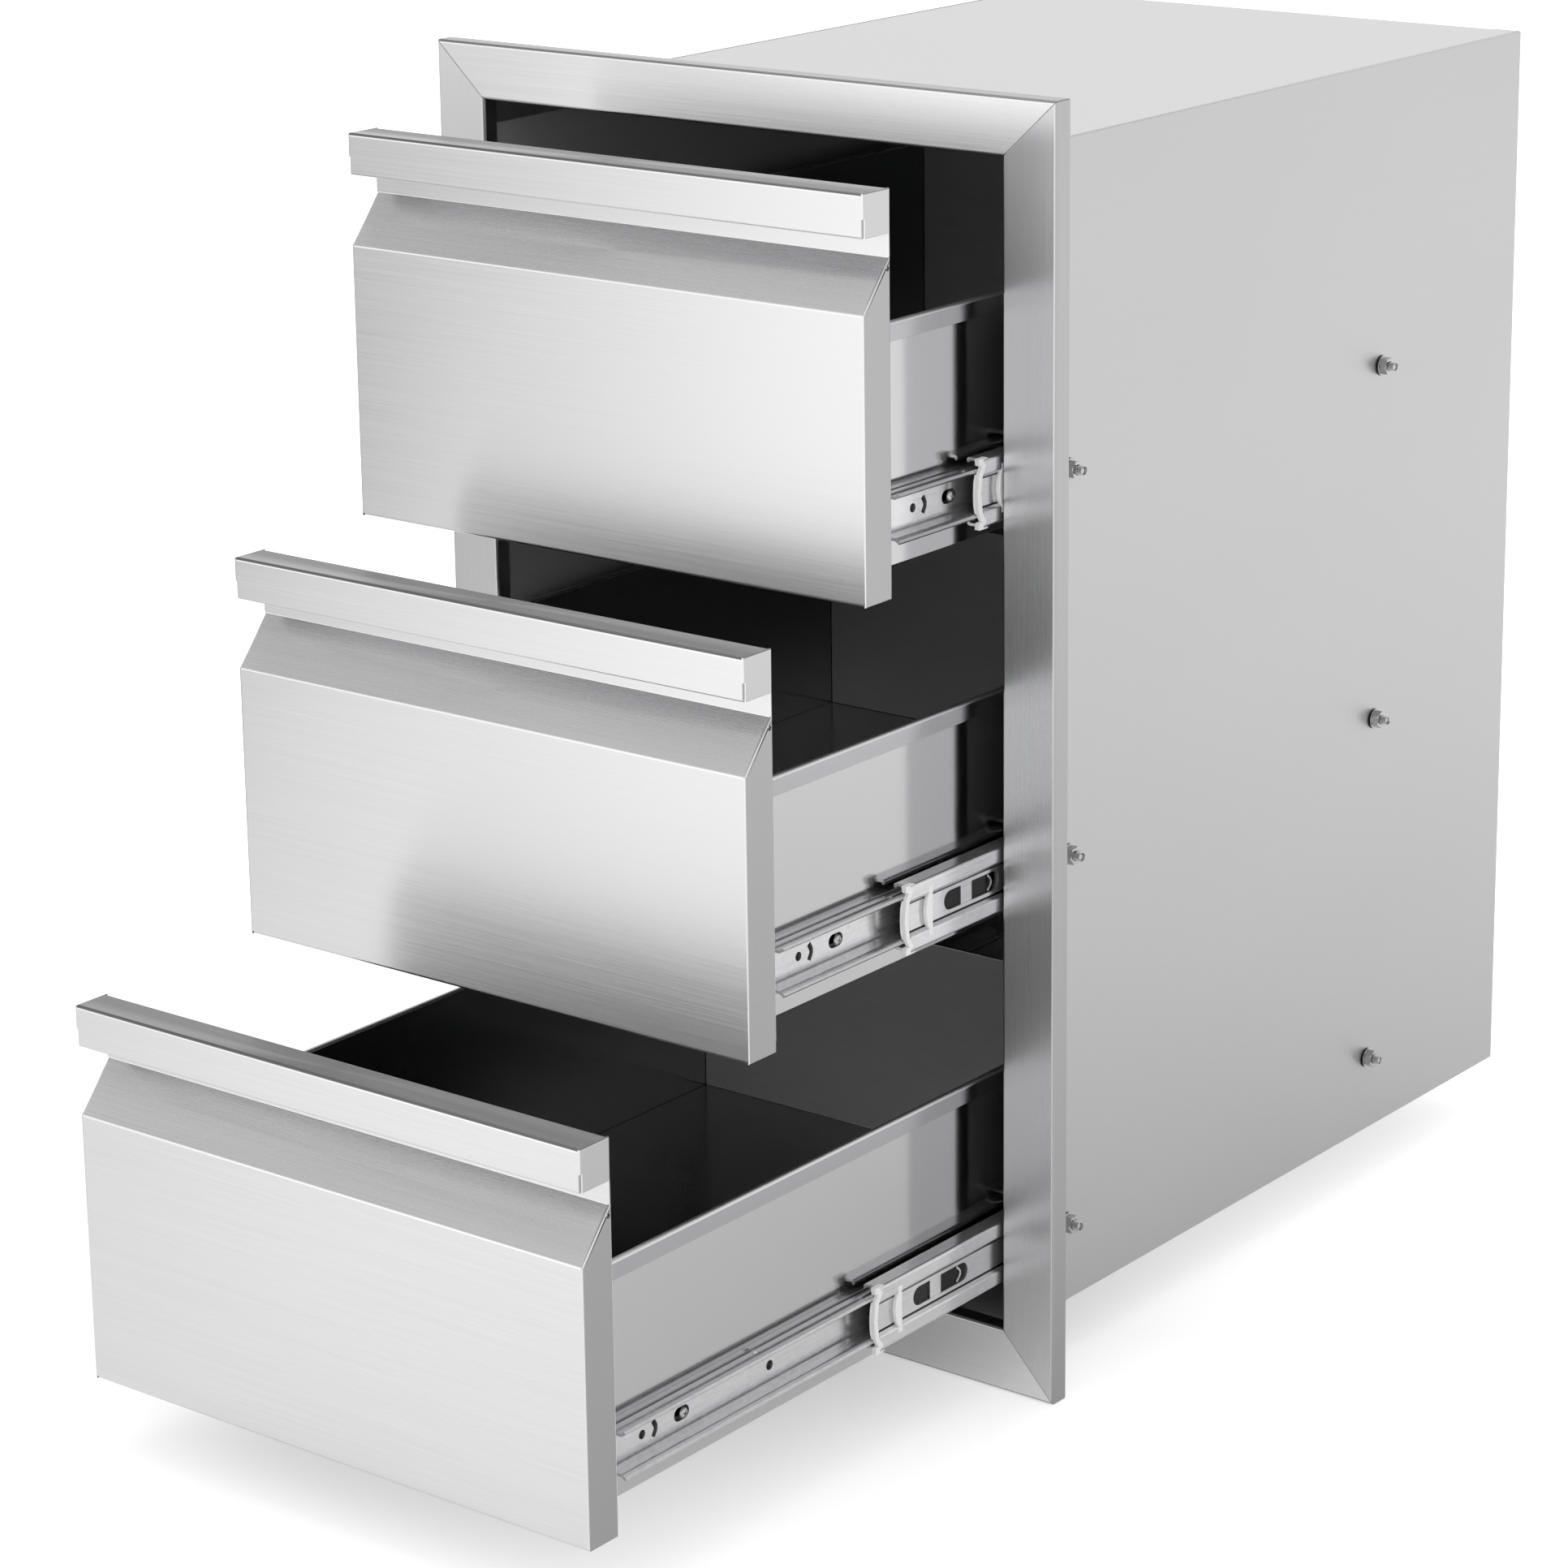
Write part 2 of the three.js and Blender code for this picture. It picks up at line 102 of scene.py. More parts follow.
def rounded(path, radii, steps=BEND_STEPS):
    """The path with an arc of the given radius at each inner corner."""
    points = [Vector(path[0])]
    inner = len(path) - 2
    radii = radii if isinstance(radii, (list, tuple)) else [radii] * inner
    for before, corner, after, radius in zip(path, path[1:], path[2:], radii):
        corner = Vector(corner)
        back, ahead = Vector(before) - corner, Vector(after) - corner
        half = back.angle(ahead) / 2
        reach = min(radius / math.tan(half), back.length * ARC_SHARE, ahead.length * ARC_SHARE)
        back.normalize()
        ahead.normalize()
        middle = (back + ahead).normalized()
        centre = corner + middle * (reach / math.cos(half))
        first, last = corner + back * reach - centre, corner + ahead * reach - centre
        turn = first.angle(last)
        for k in range(steps + 1):
            part = k / steps
            mix = first * math.sin((1 - part) * turn) + last * math.sin(part * turn)
            points.append(centre + mix / math.sin(turn))
    points.append(Vector(path[-1]))
    return points


def offset(path, thickness):
    """The other face of a sheet whose one face is the path, on the path's left."""
    other = []
    for i, here in enumerate(path):
        into = (here - path[i - 1]) if i else (path[1] - here)
        out = (path[i + 1] - here) if i < len(path) - 1 else into
        left_in = Vector((-into.y, into.x)).normalized()
        left_out = Vector((-out.y, out.x)).normalized()
        middle = (left_in + left_out).normalized()
        other.append(here + middle * (thickness / middle.dot(left_in)))
    return other


def arc(centre, radius, start, end, steps):
    """Points on a circle, angles in degrees."""
    angles = [math.radians(start + (end - start) * k / steps) for k in range(steps + 1)]
    return [(centre[0] + radius * math.cos(a), centre[1] + radius * math.sin(a)) for a in angles]


def ring(centre, radius, steps=20):
    return arc(centre, radius, 0, 360, steps)[:-1]


def slot_outline(u0, u1, v, radius, steps=8):
    """A slot with round ends from u0 to u1."""
    return arc((u1 - radius, v), radius, -90, 90, steps) + arc((u0 + radius, v), radius, 90, 270, steps)


# Ways to lay a flat outline in the part: u and v in its plane, w across it
def along_x(u, v, w):
    return Vector((w, u, v))


def along_y(u, v, w):
    return Vector((u, w, v))


def along_z(u, v, w):
    return Vector((u, v, w))


def mirrored(lay, sign):
    """The same way for the right side, and turned over for the left."""
    return lambda u, v, w: lay(sign * u, v, w)


class Shell:
    """Gathers closed sheets, plates and round solids for one piece before they become a mesh."""

    def __init__(self):
        self.bm = bmesh.new()

    def fold(self, path, thickness, lay, start, end):
        """A folded sheet with its outline laid from start to end."""
        near0, near1, far0, far1 = (
            [self.bm.verts.new(lay(*point, w)) for point in line]
            for line in (path, offset(path, thickness)) for w in (start, end)
        )
        for i in range(len(path) - 1):
            for quad in (
                (near0[i], near0[i + 1], near1[i + 1], near1[i]),
                (far0[i], far0[i + 1], far1[i + 1], far1[i]),
                (near0[i], near0[i + 1], far0[i + 1], far0[i]),
                (near1[i], near1[i + 1], far1[i + 1], far1[i]),
            ):
                self.bm.faces.new(quad)
        for i in (0, -1):
            self.bm.faces.new((near0[i], far0[i], far1[i], near1[i]))
        return self

    def plate(self, outline, lay, start, end, holes=(), rim=0.0):
        """A flat plate from start to end; its outer edge can be rounded on the end face."""
        loops = [list(outline)] + [list(hole) for hole in holes]
        flat = [point for loop in loops for point in loop]
        ends = [[self.bm.verts.new(lay(*point, w)) for point in flat] for w in (start, end)]
        for tri in tessellate_polygon([[Vector((*point, 0)) for point in loop] for loop in loops]):
            for side in ends:
                self.bm.faces.new([side[i] for i in tri])
        first = 0
        for loop in loops:
            count = len(loop)
            for i in range(count):
                a, b = first + i, first + (i + 1) % count
                self.bm.faces.new((ends[0][a], ends[0][b], ends[1][b], ends[1][a]))
            first += count
        if rim:
            edge = ends[1][:len(loops[0])]
            lines = [self.bm.edges.get(pair) for pair in zip(edge, edge[1:] + edge[:1])]
            bmesh.ops.bevel(self.bm, geom=lines, offset=rim, segments=4, profile=0.5, affect="EDGES")
        return self

    def turned(self, profile, steps, centre=(0, 0, 0), axis=(0, 0, 1)):
        """A round solid from a profile of radius and place along the axis, open at a pole or closed."""
        spin = Vector(axis).to_track_quat("Z", "Y").to_matrix()
        closed = profile[0] == profile[-1]
        rows = []
        for radius, place in profile[:-1] if closed else profile:
            angles = [math.tau * k / steps for k in range(steps if radius else 1)]
            spots = [Vector((radius * math.cos(a), radius * math.sin(a), place)) for a in angles]
            rows.append([self.bm.verts.new(spin @ spot + Vector(centre)) for spot in spots])
        for near, far in zip(rows, rows[1:] + rows[:1] if closed else rows[1:]):
            for k in range(steps):
                m = (k + 1) % steps
                quad = (near[k % len(near)], near[m % len(near)], far[m % len(far)], far[k % len(far)])
                self.bm.faces.new(list(dict.fromkeys(quad)))
        return self


def evaluated_mesh(obj):
    """Turns the object with its modifiers into a plain mesh and takes the modifiers off."""
    graph = bpy.context.evaluated_depsgraph_get()
    mesh = bpy.data.meshes.new_from_object(obj.evaluated_get(graph))
    old = obj.data
    obj.modifiers.clear()
    obj.data = mesh
    bpy.data.meshes.remove(old)
    return obj


def discard(obj):
    data = obj.data
    bpy.data.objects.remove(obj)
    bpy.data.meshes.remove(data)


def mesh_object(name, shell):
    """Makes the gathered faces an object with its normals outwards."""
    bmesh.ops.recalc_face_normals(shell.bm, faces=shell.bm.faces[:])
    mesh = bpy.data.meshes.new(name)
    shell.bm.to_mesh(mesh)
    shell.bm.free()
    obj = bpy.data.objects.new(name, mesh)
    bpy.context.scene.collection.objects.link(obj)
    return obj


def carve(obj, shell, operation="DIFFERENCE"):
    """Takes the shell's form out of the object, or keeps what lies in it."""
    knife = mesh_object(obj.name + "_cut", shell)
    cut = obj.modifiers.new("cut", "BOOLEAN")
    cut.object = knife
    cut.operation = operation
    cut.solver = "EXACT"
    evaluated_mesh(obj)
    discard(knife)
    return obj


def soften(obj, width, segments=2, limit=40):
    """Breaks the sharp edges of a piece."""
    edge = obj.modifiers.new("edge", "BEVEL")
    edge.width = width
    edge.segments = segments
    edge.limit_method = "ANGLE"
    edge.angle_limit = math.radians(limit)
    return evaluated_mesh(obj)


def finish_piece(obj, finishes, body, nodes=(), pick=None):
    """Shades, colours and seats a piece: pick names a face's finish from its centre and normal."""
    mesh = obj.data
    mesh.materials.clear()
    for name in finishes:
        mesh.materials.append(finish_named(name))
    mesh.polygons.foreach_set("use_smooth", [True] * len(mesh.polygons))
    mesh.set_sharp_from_angle(angle=SHARP)
    if pick:
        for face in mesh.polygons:
            face.material_index = finishes.index(pick(face.center, face.normal))
    mesh.update()
    level = obj.modifiers.new("level", "WEIGHTED_NORMAL")
    level.keep_sharp = True
    evaluated_mesh(obj)
    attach(obj, body)
    if nodes:
        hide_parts(*nodes)


def dress(node, shell, finishes, body, edge=0.0, segments=2, limit=40, cutter=None, pick=None):
    """Makes the shell the piece that stands for a CAD node."""
    obj = mesh_object(node + "_dressed", shell)
    if cutter:
        carve(obj, cutter)
    if edge:
        soften(obj, edge, segments, limit)
    finish_piece(obj, finishes, body, [node], pick)


def node_plate(node):
    """A flat plate that fills the node's box, its face towards the front."""
    lo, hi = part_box(node)
    outline = [(lo.x, lo.z), (hi.x, lo.z), (hi.x, hi.z), (lo.x, hi.z)]
    return Shell().plate(outline, along_y, lo.y, hi.y)


# Node trees
class Socket:
    """An output socket, so that sums of masks read as plain arithmetic."""

    def __init__(self, tree, socket):
        self.tree, self.socket = tree, socket

    def other(self, key):
        """Another output of the same node."""
        return Socket(self.tree, self.socket.node.outputs[key])

    def maths(self, operation, *values):
        return self.tree.node("ShaderNodeMath", dict(enumerate(values)), operation=operation)

    def __add__(self, other):
        return self.maths("ADD", self, other)

    def __sub__(self, other):
        return self.maths("SUBTRACT", self, other)

    def __rsub__(self, other):
        return self.maths("SUBTRACT", other, self)

    def __mul__(self, other):
        return self.maths("MULTIPLY", self, other)

    __radd__ = __add__
    __rmul__ = __mul__


class Tree:
    """Adds nodes to a tree: one method for every kind."""

    def __init__(self, tree):
        self.tree = tree

    def node(self, kind, sockets=None, out=0, **settings):
        """A node with its settings made first, and then its sockets set or linked; gives one output."""
        node = self.tree.nodes.new(kind)
        for key, value in settings.items():
            if key == "stops":
                ramp = node.color_ramp.elements
                while len(ramp) < len(value):
                    ramp.new(0.5)
                for element, (place, colour) in zip(ramp, value):
                    element.position = place
                    element.color = colour
            else:
                setattr(node, key, value)
        for key, value in (sockets or {}).items():
            if isinstance(value, Socket):
                self.tree.links.new(value.socket, node.inputs[key])
            else:
                node.inputs[key].default_value = value
        return Socket(self, node.outputs[out]) if node.outputs else None


def new_material(name):
    """An empty material, its tree, and the place of a point in the object's own coordinates."""
    material = bpy.data.materials.new(name)
    material.use_nodes = True
    material.node_tree.nodes.clear()
    tree = Tree(material.node_tree)
    return material, tree, tree.node("ShaderNodeTexCoord", out="Object")


def surface(tree, fixed, linked):
    """The one shader of a finish: fixed values on its own sockets, and what varies linked."""
    shader = tree.node("ShaderNodeBsdfPrincipled", {**fixed, **linked})
    tree.node("ShaderNodeOutputMaterial", {0: shader})


def scaled(tree, colour, factor):
    """A colour made lighter or darker by a value that varies."""
    return tree.node("ShaderNodeVectorMath", {0: colour, "Scale": factor}, operation="SCALE")


def stretched_noise(tree, place, scale, detail=2.0, roughness=0.5):
    """Noise drawn out by a different scale on each axis, so that it runs as a grain."""
    vector = tree.node("ShaderNodeVectorMath", {0: place, 1: scale}, operation="MULTIPLY")
    return tree.node("ShaderNodeTexNoise",
                     {"Vector": vector, "Scale": 1.0, "Detail": detail, "Roughness": roughness})


def from_panel(value):
    """A value of a finish, read from the panel where it is given by name."""
    return getattr(bpy.context.scene.unit_steel, value) if isinstance(value, str) else value


# Brushed grain: how long a line or a band is for its width, the size of its clouds across and along,
# and how much lines, bands and clouds show in the colour, the roughness and the bump
LINE_LENGTH, BAND_LENGTH = 240, 160
CLOUDS = (14.0, 5.0)
COLOUR_MARKS, GLOSS_MARKS = (0.16, 0.045, 0.05), (0.14, 0.03, 0.03)
BUMP_LINES, BUMP_BANDS, BUMP_HEIGHT = 0.85, 0.15, 0.04 * MM


def brushed_steel(name, colour, roughness, axis, rougher=0.0, stretch=0.0, turn=0.0, grain=1.0, relief=1.0,
                  metal=1.0):
    """Brushed sheet whose grain runs along the named axis in the object's own coordinates."""
    material, tree, place = new_material(name)

    def scales(across, lengthwise):
        return tuple(lengthwise if letter == axis else across for letter in "xyz")

    lines, bands = from_panel("fine_grain"), from_panel("broad_grain")
    fine = stretched_noise(tree, place, scales(lines, lines / LINE_LENGTH), 3.0, 0.65)
    broad = stretched_noise(tree, place, scales(bands, bands / BAND_LENGTH), 3.0, 0.6)
    cloud = stretched_noise(tree, place, scales(*CLOUDS))

    def around(middle, shares):
        """A value that the grain and the clouds move up and down."""
        line, band, spot = shares
        return middle + (fine - 0.5) * (line * grain) + (broad - 0.5) * (band * grain) + (cloud - 0.5) * spot

    tint = scaled(tree, tuple(from_panel(colour)), around(1.0, COLOUR_MARKS))
    gloss = around(from_panel(roughness) + rougher, GLOSS_MARKS)
    bump = tree.node("ShaderNodeBump", {"Strength": from_panel("relief") * relief, "Distance": BUMP_HEIGHT,
                                        "Height": fine * BUMP_LINES + broad * BUMP_BANDS})
    surface(tree, {"Metallic": metal, "Anisotropic": stretch, "Anisotropic Rotation": turn},
            {"Base Color": tint, "Roughness": gloss, "Normal": bump})
    return material


# Dark sheet: the scale of its grain and clouds on each axis, its shade without them, and how much of
# each shows in the colour and the roughness
DARK_GRAIN, DARK_CLOUDS = (60.0, 1500.0, 1500.0), (9.0, 9.0, 9.0)
DARK_SHADE, DARK_MARKS, DARK_GLOSS = 0.86, (0.18, 0.1), (0.08, 0.05)


def dark_steel(name, colour, metal=1.0):
    """The inner faces: a smooth sheet with a faint grain in the given colour; its dark uses, the drawers'
    insides and the black, are painted shade.
    """
    material, tree, place = new_material(name)
    grain = stretched_noise(tree, place, DARK_GRAIN)
    cloud = stretched_noise(tree, place, DARK_CLOUDS)
    shade = DARK_SHADE + grain * DARK_MARKS[0] + cloud * DARK_MARKS[1]
    gloss = from_panel("inner_roughness") + (grain - 0.5) * DARK_GLOSS[0] + (cloud - 0.5) * DARK_GLOSS[1]
    tint = scaled(tree, tuple(from_panel(colour)), shade)
    surface(tree, {"Metallic": metal}, {"Base Color": tint, "Roughness": gloss})
    return material


# Zinc plate: as the dark sheet, with streaks in place of the grain
ZINC_STREAKS, ZINC_CLOUDS = (900.0, 25.0, 900.0), (420.0, 260.0, 420.0)
ZINC_SHADE, ZINC_MARKS, ZINC_GLOSS = 0.72, (0.22, 0.36), (0.12, 0.2)
ZINC_METAL = 0.85


def zinc_plate(name, roughness, shade=1.0):
    """Bright plate of the slides and fastenings, a little cloudy."""
    material, tree, place = new_material(name)
    streak = stretched_noise(tree, place, ZINC_STREAKS)
    cloud = stretched_noise(tree, place, ZINC_CLOUDS, 4.0, 0.7)
    colour = tuple(part * shade for part in from_panel("zinc_colour"))
    tint = scaled(tree, colour, ZINC_SHADE + streak * ZINC_MARKS[0] + cloud * ZINC_MARKS[1])
    gloss = roughness + (streak - 0.5) * ZINC_GLOSS[0] + (cloud - 0.5) * ZINC_GLOSS[1]
    surface(tree, {"Metallic": ZINC_METAL}, {"Base Color": tint, "Roughness": gloss})
    return material


# Plastic: the scale of its fine grain, its bump, and its shade and roughness without the grain and by it
PLASTIC_GRAIN, PLASTIC_BUMP, PLASTIC_RELIEF = (2200.0, 2200.0, 2200.0), 0.05 * MM, 0.12
PLASTIC_SHADE, PLASTIC_GLOSS = (0.97, 0.05), (0.4, 0.12)
PLASTIC_LIGHT = {"IOR": 1.49, "Subsurface Weight": 0.08, "Subsurface Scale": 2 * MM}


def moulded_plastic(name, colour):
    """White moulded plastic of the end stops."""
    material, tree, place = new_material(name)
    grain = stretched_noise(tree, place, PLASTIC_GRAIN)
    bump = tree.node("ShaderNodeBump",
                     {"Strength": PLASTIC_RELIEF, "Distance": PLASTIC_BUMP, "Height": grain})
    tint = scaled(tree, colour, PLASTIC_SHADE[0] + grain * PLASTIC_SHADE[1])
    gloss = PLASTIC_GLOSS[0] + grain * PLASTIC_GLOSS[1]
    surface(tree, PLASTIC_LIGHT, {"Base Color": tint, "Roughness": gloss, "Normal": bump})
    return material


def brushed(colour, roughness, axis, **more):
    """One line of the list of finishes, for brushed sheet."""
    return brushed_steel, dict(colour=colour, roughness=roughness, axis=axis, **more)


# Each finish by its maker and its values; a colour or roughness in quotes is the panel's
# The steel finishes all stand for one stainless steel: the rails' and folds' lighter copy is painted
# highlight, as is the lid finish on the hems' tops; the darker copies on the stiles, the frame's returns, the
# fronts' sides, lip ends and lip tops, the hems, the cabinet's sides and the drawers' insides are painted
# shade, and so is the black, on the slot's strip partly the retainer's own colour
FINISHES = {
    "front_steel": brushed("colour", "front_roughness", "x", stretch=0.9, turn=0.25, grain=1.4, relief=1.2),
    "rail_steel": brushed("rail_colour", "front_roughness", "x", stretch=0.9, turn=0.25, grain=1.2),
    "slant_steel": brushed("slant_colour", "front_roughness", "x", rougher=0.06, stretch=0.85, turn=0.25,
                           grain=0.9, relief=0.8, metal=0.7),
    "lip_steel": brushed("lip_colour", 0.3, "x", stretch=0.85, turn=0.25),
    "stile_steel": brushed("stile_colour", "front_roughness", "z", rougher=0.06, stretch=0.88, grain=0.4,
                           relief=0.6),
    "return_steel": brushed("return_colour", 0.3, "z", stretch=0.3, grain=0.8),
    "cheek_steel": brushed("cheek_colour", 0.3, "z", stretch=0.3, grain=0.5),
    "cap_steel": brushed("wall_colour", 0.16, "z", grain=0.3, relief=0.3),
    "side_steel": brushed("side_colour", "side_roughness", "y", stretch=0.5, turn=0.25, grain=0.4,
                          relief=0.4),
    "lid_steel": brushed("lid_colour", "side_roughness", "x", grain=0.5, relief=0.4),
    "wall_steel": brushed("wall_colour", "wall_roughness", "y", grain=0.2, relief=0.15),
    "rim_steel": brushed("rim_colour", 0.2, "y", stretch=0.3, turn=0.25, grain=0.4, relief=0.4),
    "mill_steel": brushed("mill_colour", 0.4, "x", grain=0.3, relief=0.3, metal=0.1),
    "inner_steel": (dark_steel, dict(colour="inner_colour")),
    "back_steel": (dark_steel, dict(colour="back_colour", metal=0.5)),
    "bay_steel": (dark_steel, dict(colour="bay_colour", metal=0.35)),
    "black_steel": (dark_steel, dict(colour=(0.03, 0.03, 0.03))),
    "zinc": (zinc_plate, dict(roughness=0.18)),
    "bolt_zinc": (zinc_plate, dict(roughness=0.12, shade=0.72)),
    "plastic": (moulded_plastic, dict(colour=(0.96, 0.96, 0.95))),
}
made_finishes = {}


def finish_named(name):
    """Each finish is made once, when the first piece asks for it."""
    if name not in made_finishes:
        make, values = FINISHES[name]
        made_finishes[name] = make(name, **values)
    return made_finishes[name]


# Sizes and looks that a user would change
def length(name, description, default):
    return bpy.props.FloatProperty(name=name, description=description, default=default, min=0.0,
                                   precision=5, unit="LENGTH", subtype="DISTANCE")


def share(name, description, default):
    return bpy.props.FloatProperty(name=name, description=description, default=default, min=0.0, max=1.0,
                                   subtype="FACTOR")


def number(name, description, default, unit="NONE"):
    return bpy.props.FloatProperty(name=name, description=description, default=default, unit=unit)


def swatch(name, description, default):
    return bpy.props.FloatVectorProperty(name=name, description=description, default=default, size=3,
                                         min=0.0, max=1.0, subtype="COLOR")


class SheetSizes(bpy.types.PropertyGroup):
    sheet: length("Sheet", "Thickness of the folded sheets", 1.0 * MM)
    bend: length("Bend", "Outer radius of a bend in the face frame and cabinet", 1.5 * MM)
    edge: length("Edge", "Rounding of a cut sheet edge", 0.18 * MM)
    seam: length("Seam", "Half the gap of a mitre seam", 0.1 * MM)
    seat_lip: length("Seat lip", "Width of the face frame's lip against the island", 12 * MM)
    inner_return: length("Inner return", "Depth of the frame's fold round the opening", 8 * MM)


class FrontSizes(bpy.types.PropertyGroup):
    face: length("Face", "Height of a drawer's flat face", 115.1 * MM)
    slant: length("Slant", "Height at which the slanted face ends", 135.3 * MM)
    lip: length("Lip", "Height of the lip's lower edge", 144.6 * MM)
    hem: length("Hem", "Height of the folded hem behind the lip", 7.6 * MM)
    relief: length("Relief", "Radius of the relief hole at the slant's bend", 1.0 * MM)
    fold: length("Fold", "Outer radius of a bend in the front", 1.5 * MM)


class SlideSizes(bpy.types.PropertyGroup):
    sheet: length("Sheet", "Thickness of a slide member", 1.2 * MM)
    bend: length("Bend", "Radius of a bend in a slide member", 1.3 * MM)
    outer_ball: length("Outer ball", "Radius of the balls in the cabinet member", 1.15 * MM)
    inner_ball: length("Inner ball", "Radius of the balls in the middle member", 1.55 * MM)
    ball_step: length("Ball spacing", "Distance from one ball to the next", 8.4 * MM)
    balls: bpy.props.IntProperty(name="Balls", description="Balls in one row", default=11, min=1)


class SteelLook(bpy.types.PropertyGroup):
    # Many of these colours are one steel made lighter or darker by which way its faces look: the rails'
    # colour is painted highlight, and the stiles', lip tops', returns', hems', cheeks', cabinet sides' and
    # drawer insides' colours are painted shade
    colour: swatch("Steel", "Colour of the drawer fronts", (0.77, 0.77, 0.775))
    rail_colour: swatch("Rails", "Colour of the face frame's rails", (0.92, 0.92, 0.925))
    slant_colour: swatch("Slants", "Colour of the drawer fronts' slanted faces", (0.73, 0.73, 0.74))
    stile_colour: swatch("Stiles", "Colour of the face frame's stiles", (0.68, 0.68, 0.69))
    lip_colour: swatch("Lip tops", "Colour of the top faces of the lips", (0.28, 0.28, 0.285))
    return_colour: swatch("Returns", "Colour of the frame's outer edges", (0.39, 0.39, 0.395))
    rim_colour: swatch("Hems", "Colour of the outward hems on the drawer walls", (0.40, 0.40, 0.41))
    cheek_colour: swatch("Cheeks", "Colour of the drawer fronts' side faces", (0.38, 0.38, 0.385))
    side_colour: swatch("Cabinet sides", "Colour of the cabinet's side sheets", (0.48, 0.48, 0.485))
    lid_colour: swatch("Cabinet top", "Colour of the cabinet's top, bottom and back", (0.66, 0.66, 0.665))
    wall_colour: swatch("Drawer walls", "Colour of the drawers' outer walls", (0.50, 0.50, 0.505))
    inner_colour: swatch("Drawer insides", "Colour of the drawers' inner faces", (0.17, 0.17, 0.175))
    mill_colour: swatch("Liners", "Colour of the fronts' backs and their liners", (0.86, 0.86, 0.865))
    back_colour: swatch("Drawer backs", "Colour of the inner faces of the drawers' backs", (0.90, 0.90, 0.91))
    bay_colour: swatch("Cabinet inside", "Colour of the cabinet's inner faces", (0.6, 0.6, 0.61))
    zinc_colour: swatch("Zinc", "Colour of the slides", (0.64, 0.64, 0.65))
    front_roughness: share("Front roughness", "Roughness of the drawer fronts and the face frame", 0.22)
    side_roughness: share("Side roughness", "Roughness of the cabinet sheets", 0.36)
    wall_roughness: share("Wall roughness", "Roughness of the drawer walls", 0.11)
    inner_roughness: share("Inner roughness", "Roughness of the inner faces", 0.16)
    fine_grain: number("Fine grain", "Fine grain lines to the metre", 2600.0)
    broad_grain: number("Broad grain", "Broad grain lines to the metre", 900.0)
    relief: share("Grain relief", "Strength of the grain's bump", 0.16)


class StageLook(bpy.types.PropertyGroup):
    level: share("Level", "Plain brightness of the room for matt surfaces", 0.85)
    sky: share("Sky", "Brightness of the ceiling that the metal reflects", 0.64)
    left: share("Left side", "Brightness of the ceiling's left side, as a share of the rest", 0.34)
    band: share("Floor band", "How much duller the floor is at the left of what the fronts reflect", 0.68)
    floor: swatch("Floor", "Colour of the floor", (0.9, 0.9, 0.9))
    lamp: number("Lamp", "Power of the soft lamp", 12.0, "POWER")


# Face frame
class UNIT_OT_face_frame(bpy.types.Operator):
    """Folds the two rails and two stiles of the face frame, with mitred corners"""
    bl_idname = "drawer_unit.face_frame"
    bl_label = "Face frame"

    def execute(self, context):
        sheet = context.scene.unit_sheet
        middle_z, half_tall = (FRAME_TOP + FRAME_BOTTOM) / 2, (FRAME_TOP - FRAME_BOTTOM) / 2
        slopes = {}
        # The rails take a lighter copy of the frame's steel, painted highlight, and the stiles a darker one,
        # painted shade
        for name, edge, sign in (("bottom", FRAME_BOTTOM, 1), ("top", FRAME_TOP, -1)):
            node = f"face_frame_{name}_rail"
            rail = half_height(node) * 2
            slope = STILE / rail
            slopes[-sign] = rail / STILE

            def lay(u, v, end):
                return Vector((end * (HALF_WIDTH - u * slope - sheet.seam), v, edge + sign * u))

            self.strip(node, rail, sheet, lay, "rail_steel")
        for name, side in SIDES:

            def lay(u, v, end):
                reach = half_tall - u * slopes[end] - sheet.seam
                return Vector((side * (HALF_WIDTH - u), v, middle_z + end * reach))

            self.strip(f"face_frame_{name}_stile", STILE, sheet, lay, "stile_steel")
        return {"FINISHED"}

    @staticmethod
    def strip(node, width, sheet, lay, finish):
        """A strip with its lip, outer edge, face and inner return, mitred at both ends."""
        corners = [(sheet.seat_lip, 0), (0, 0), (0, FACE_Y), (width, FACE_Y),
                   (width, FACE_Y + sheet.inner_return)]
        shell = Shell().fold(rounded(corners, sheet.bend), sheet.sheet, lay, -1, 1)

        # The faces that don't look to the front take a darker copy of the steel: painted shade
        def pick(centre, normal):
            return "return_steel" if abs(normal.y) < FLAT_ON else finish

        dress(node, shell, (finish, "return_steel"), "cabinet", sheet.edge, limit=50, pick=pick)


# Cabinet
LID_OVERLAP = 0.1 * MM
# The sides' edges are rounder than the other sheets' by this much
SIDE_EDGE_GAIN = 1.5


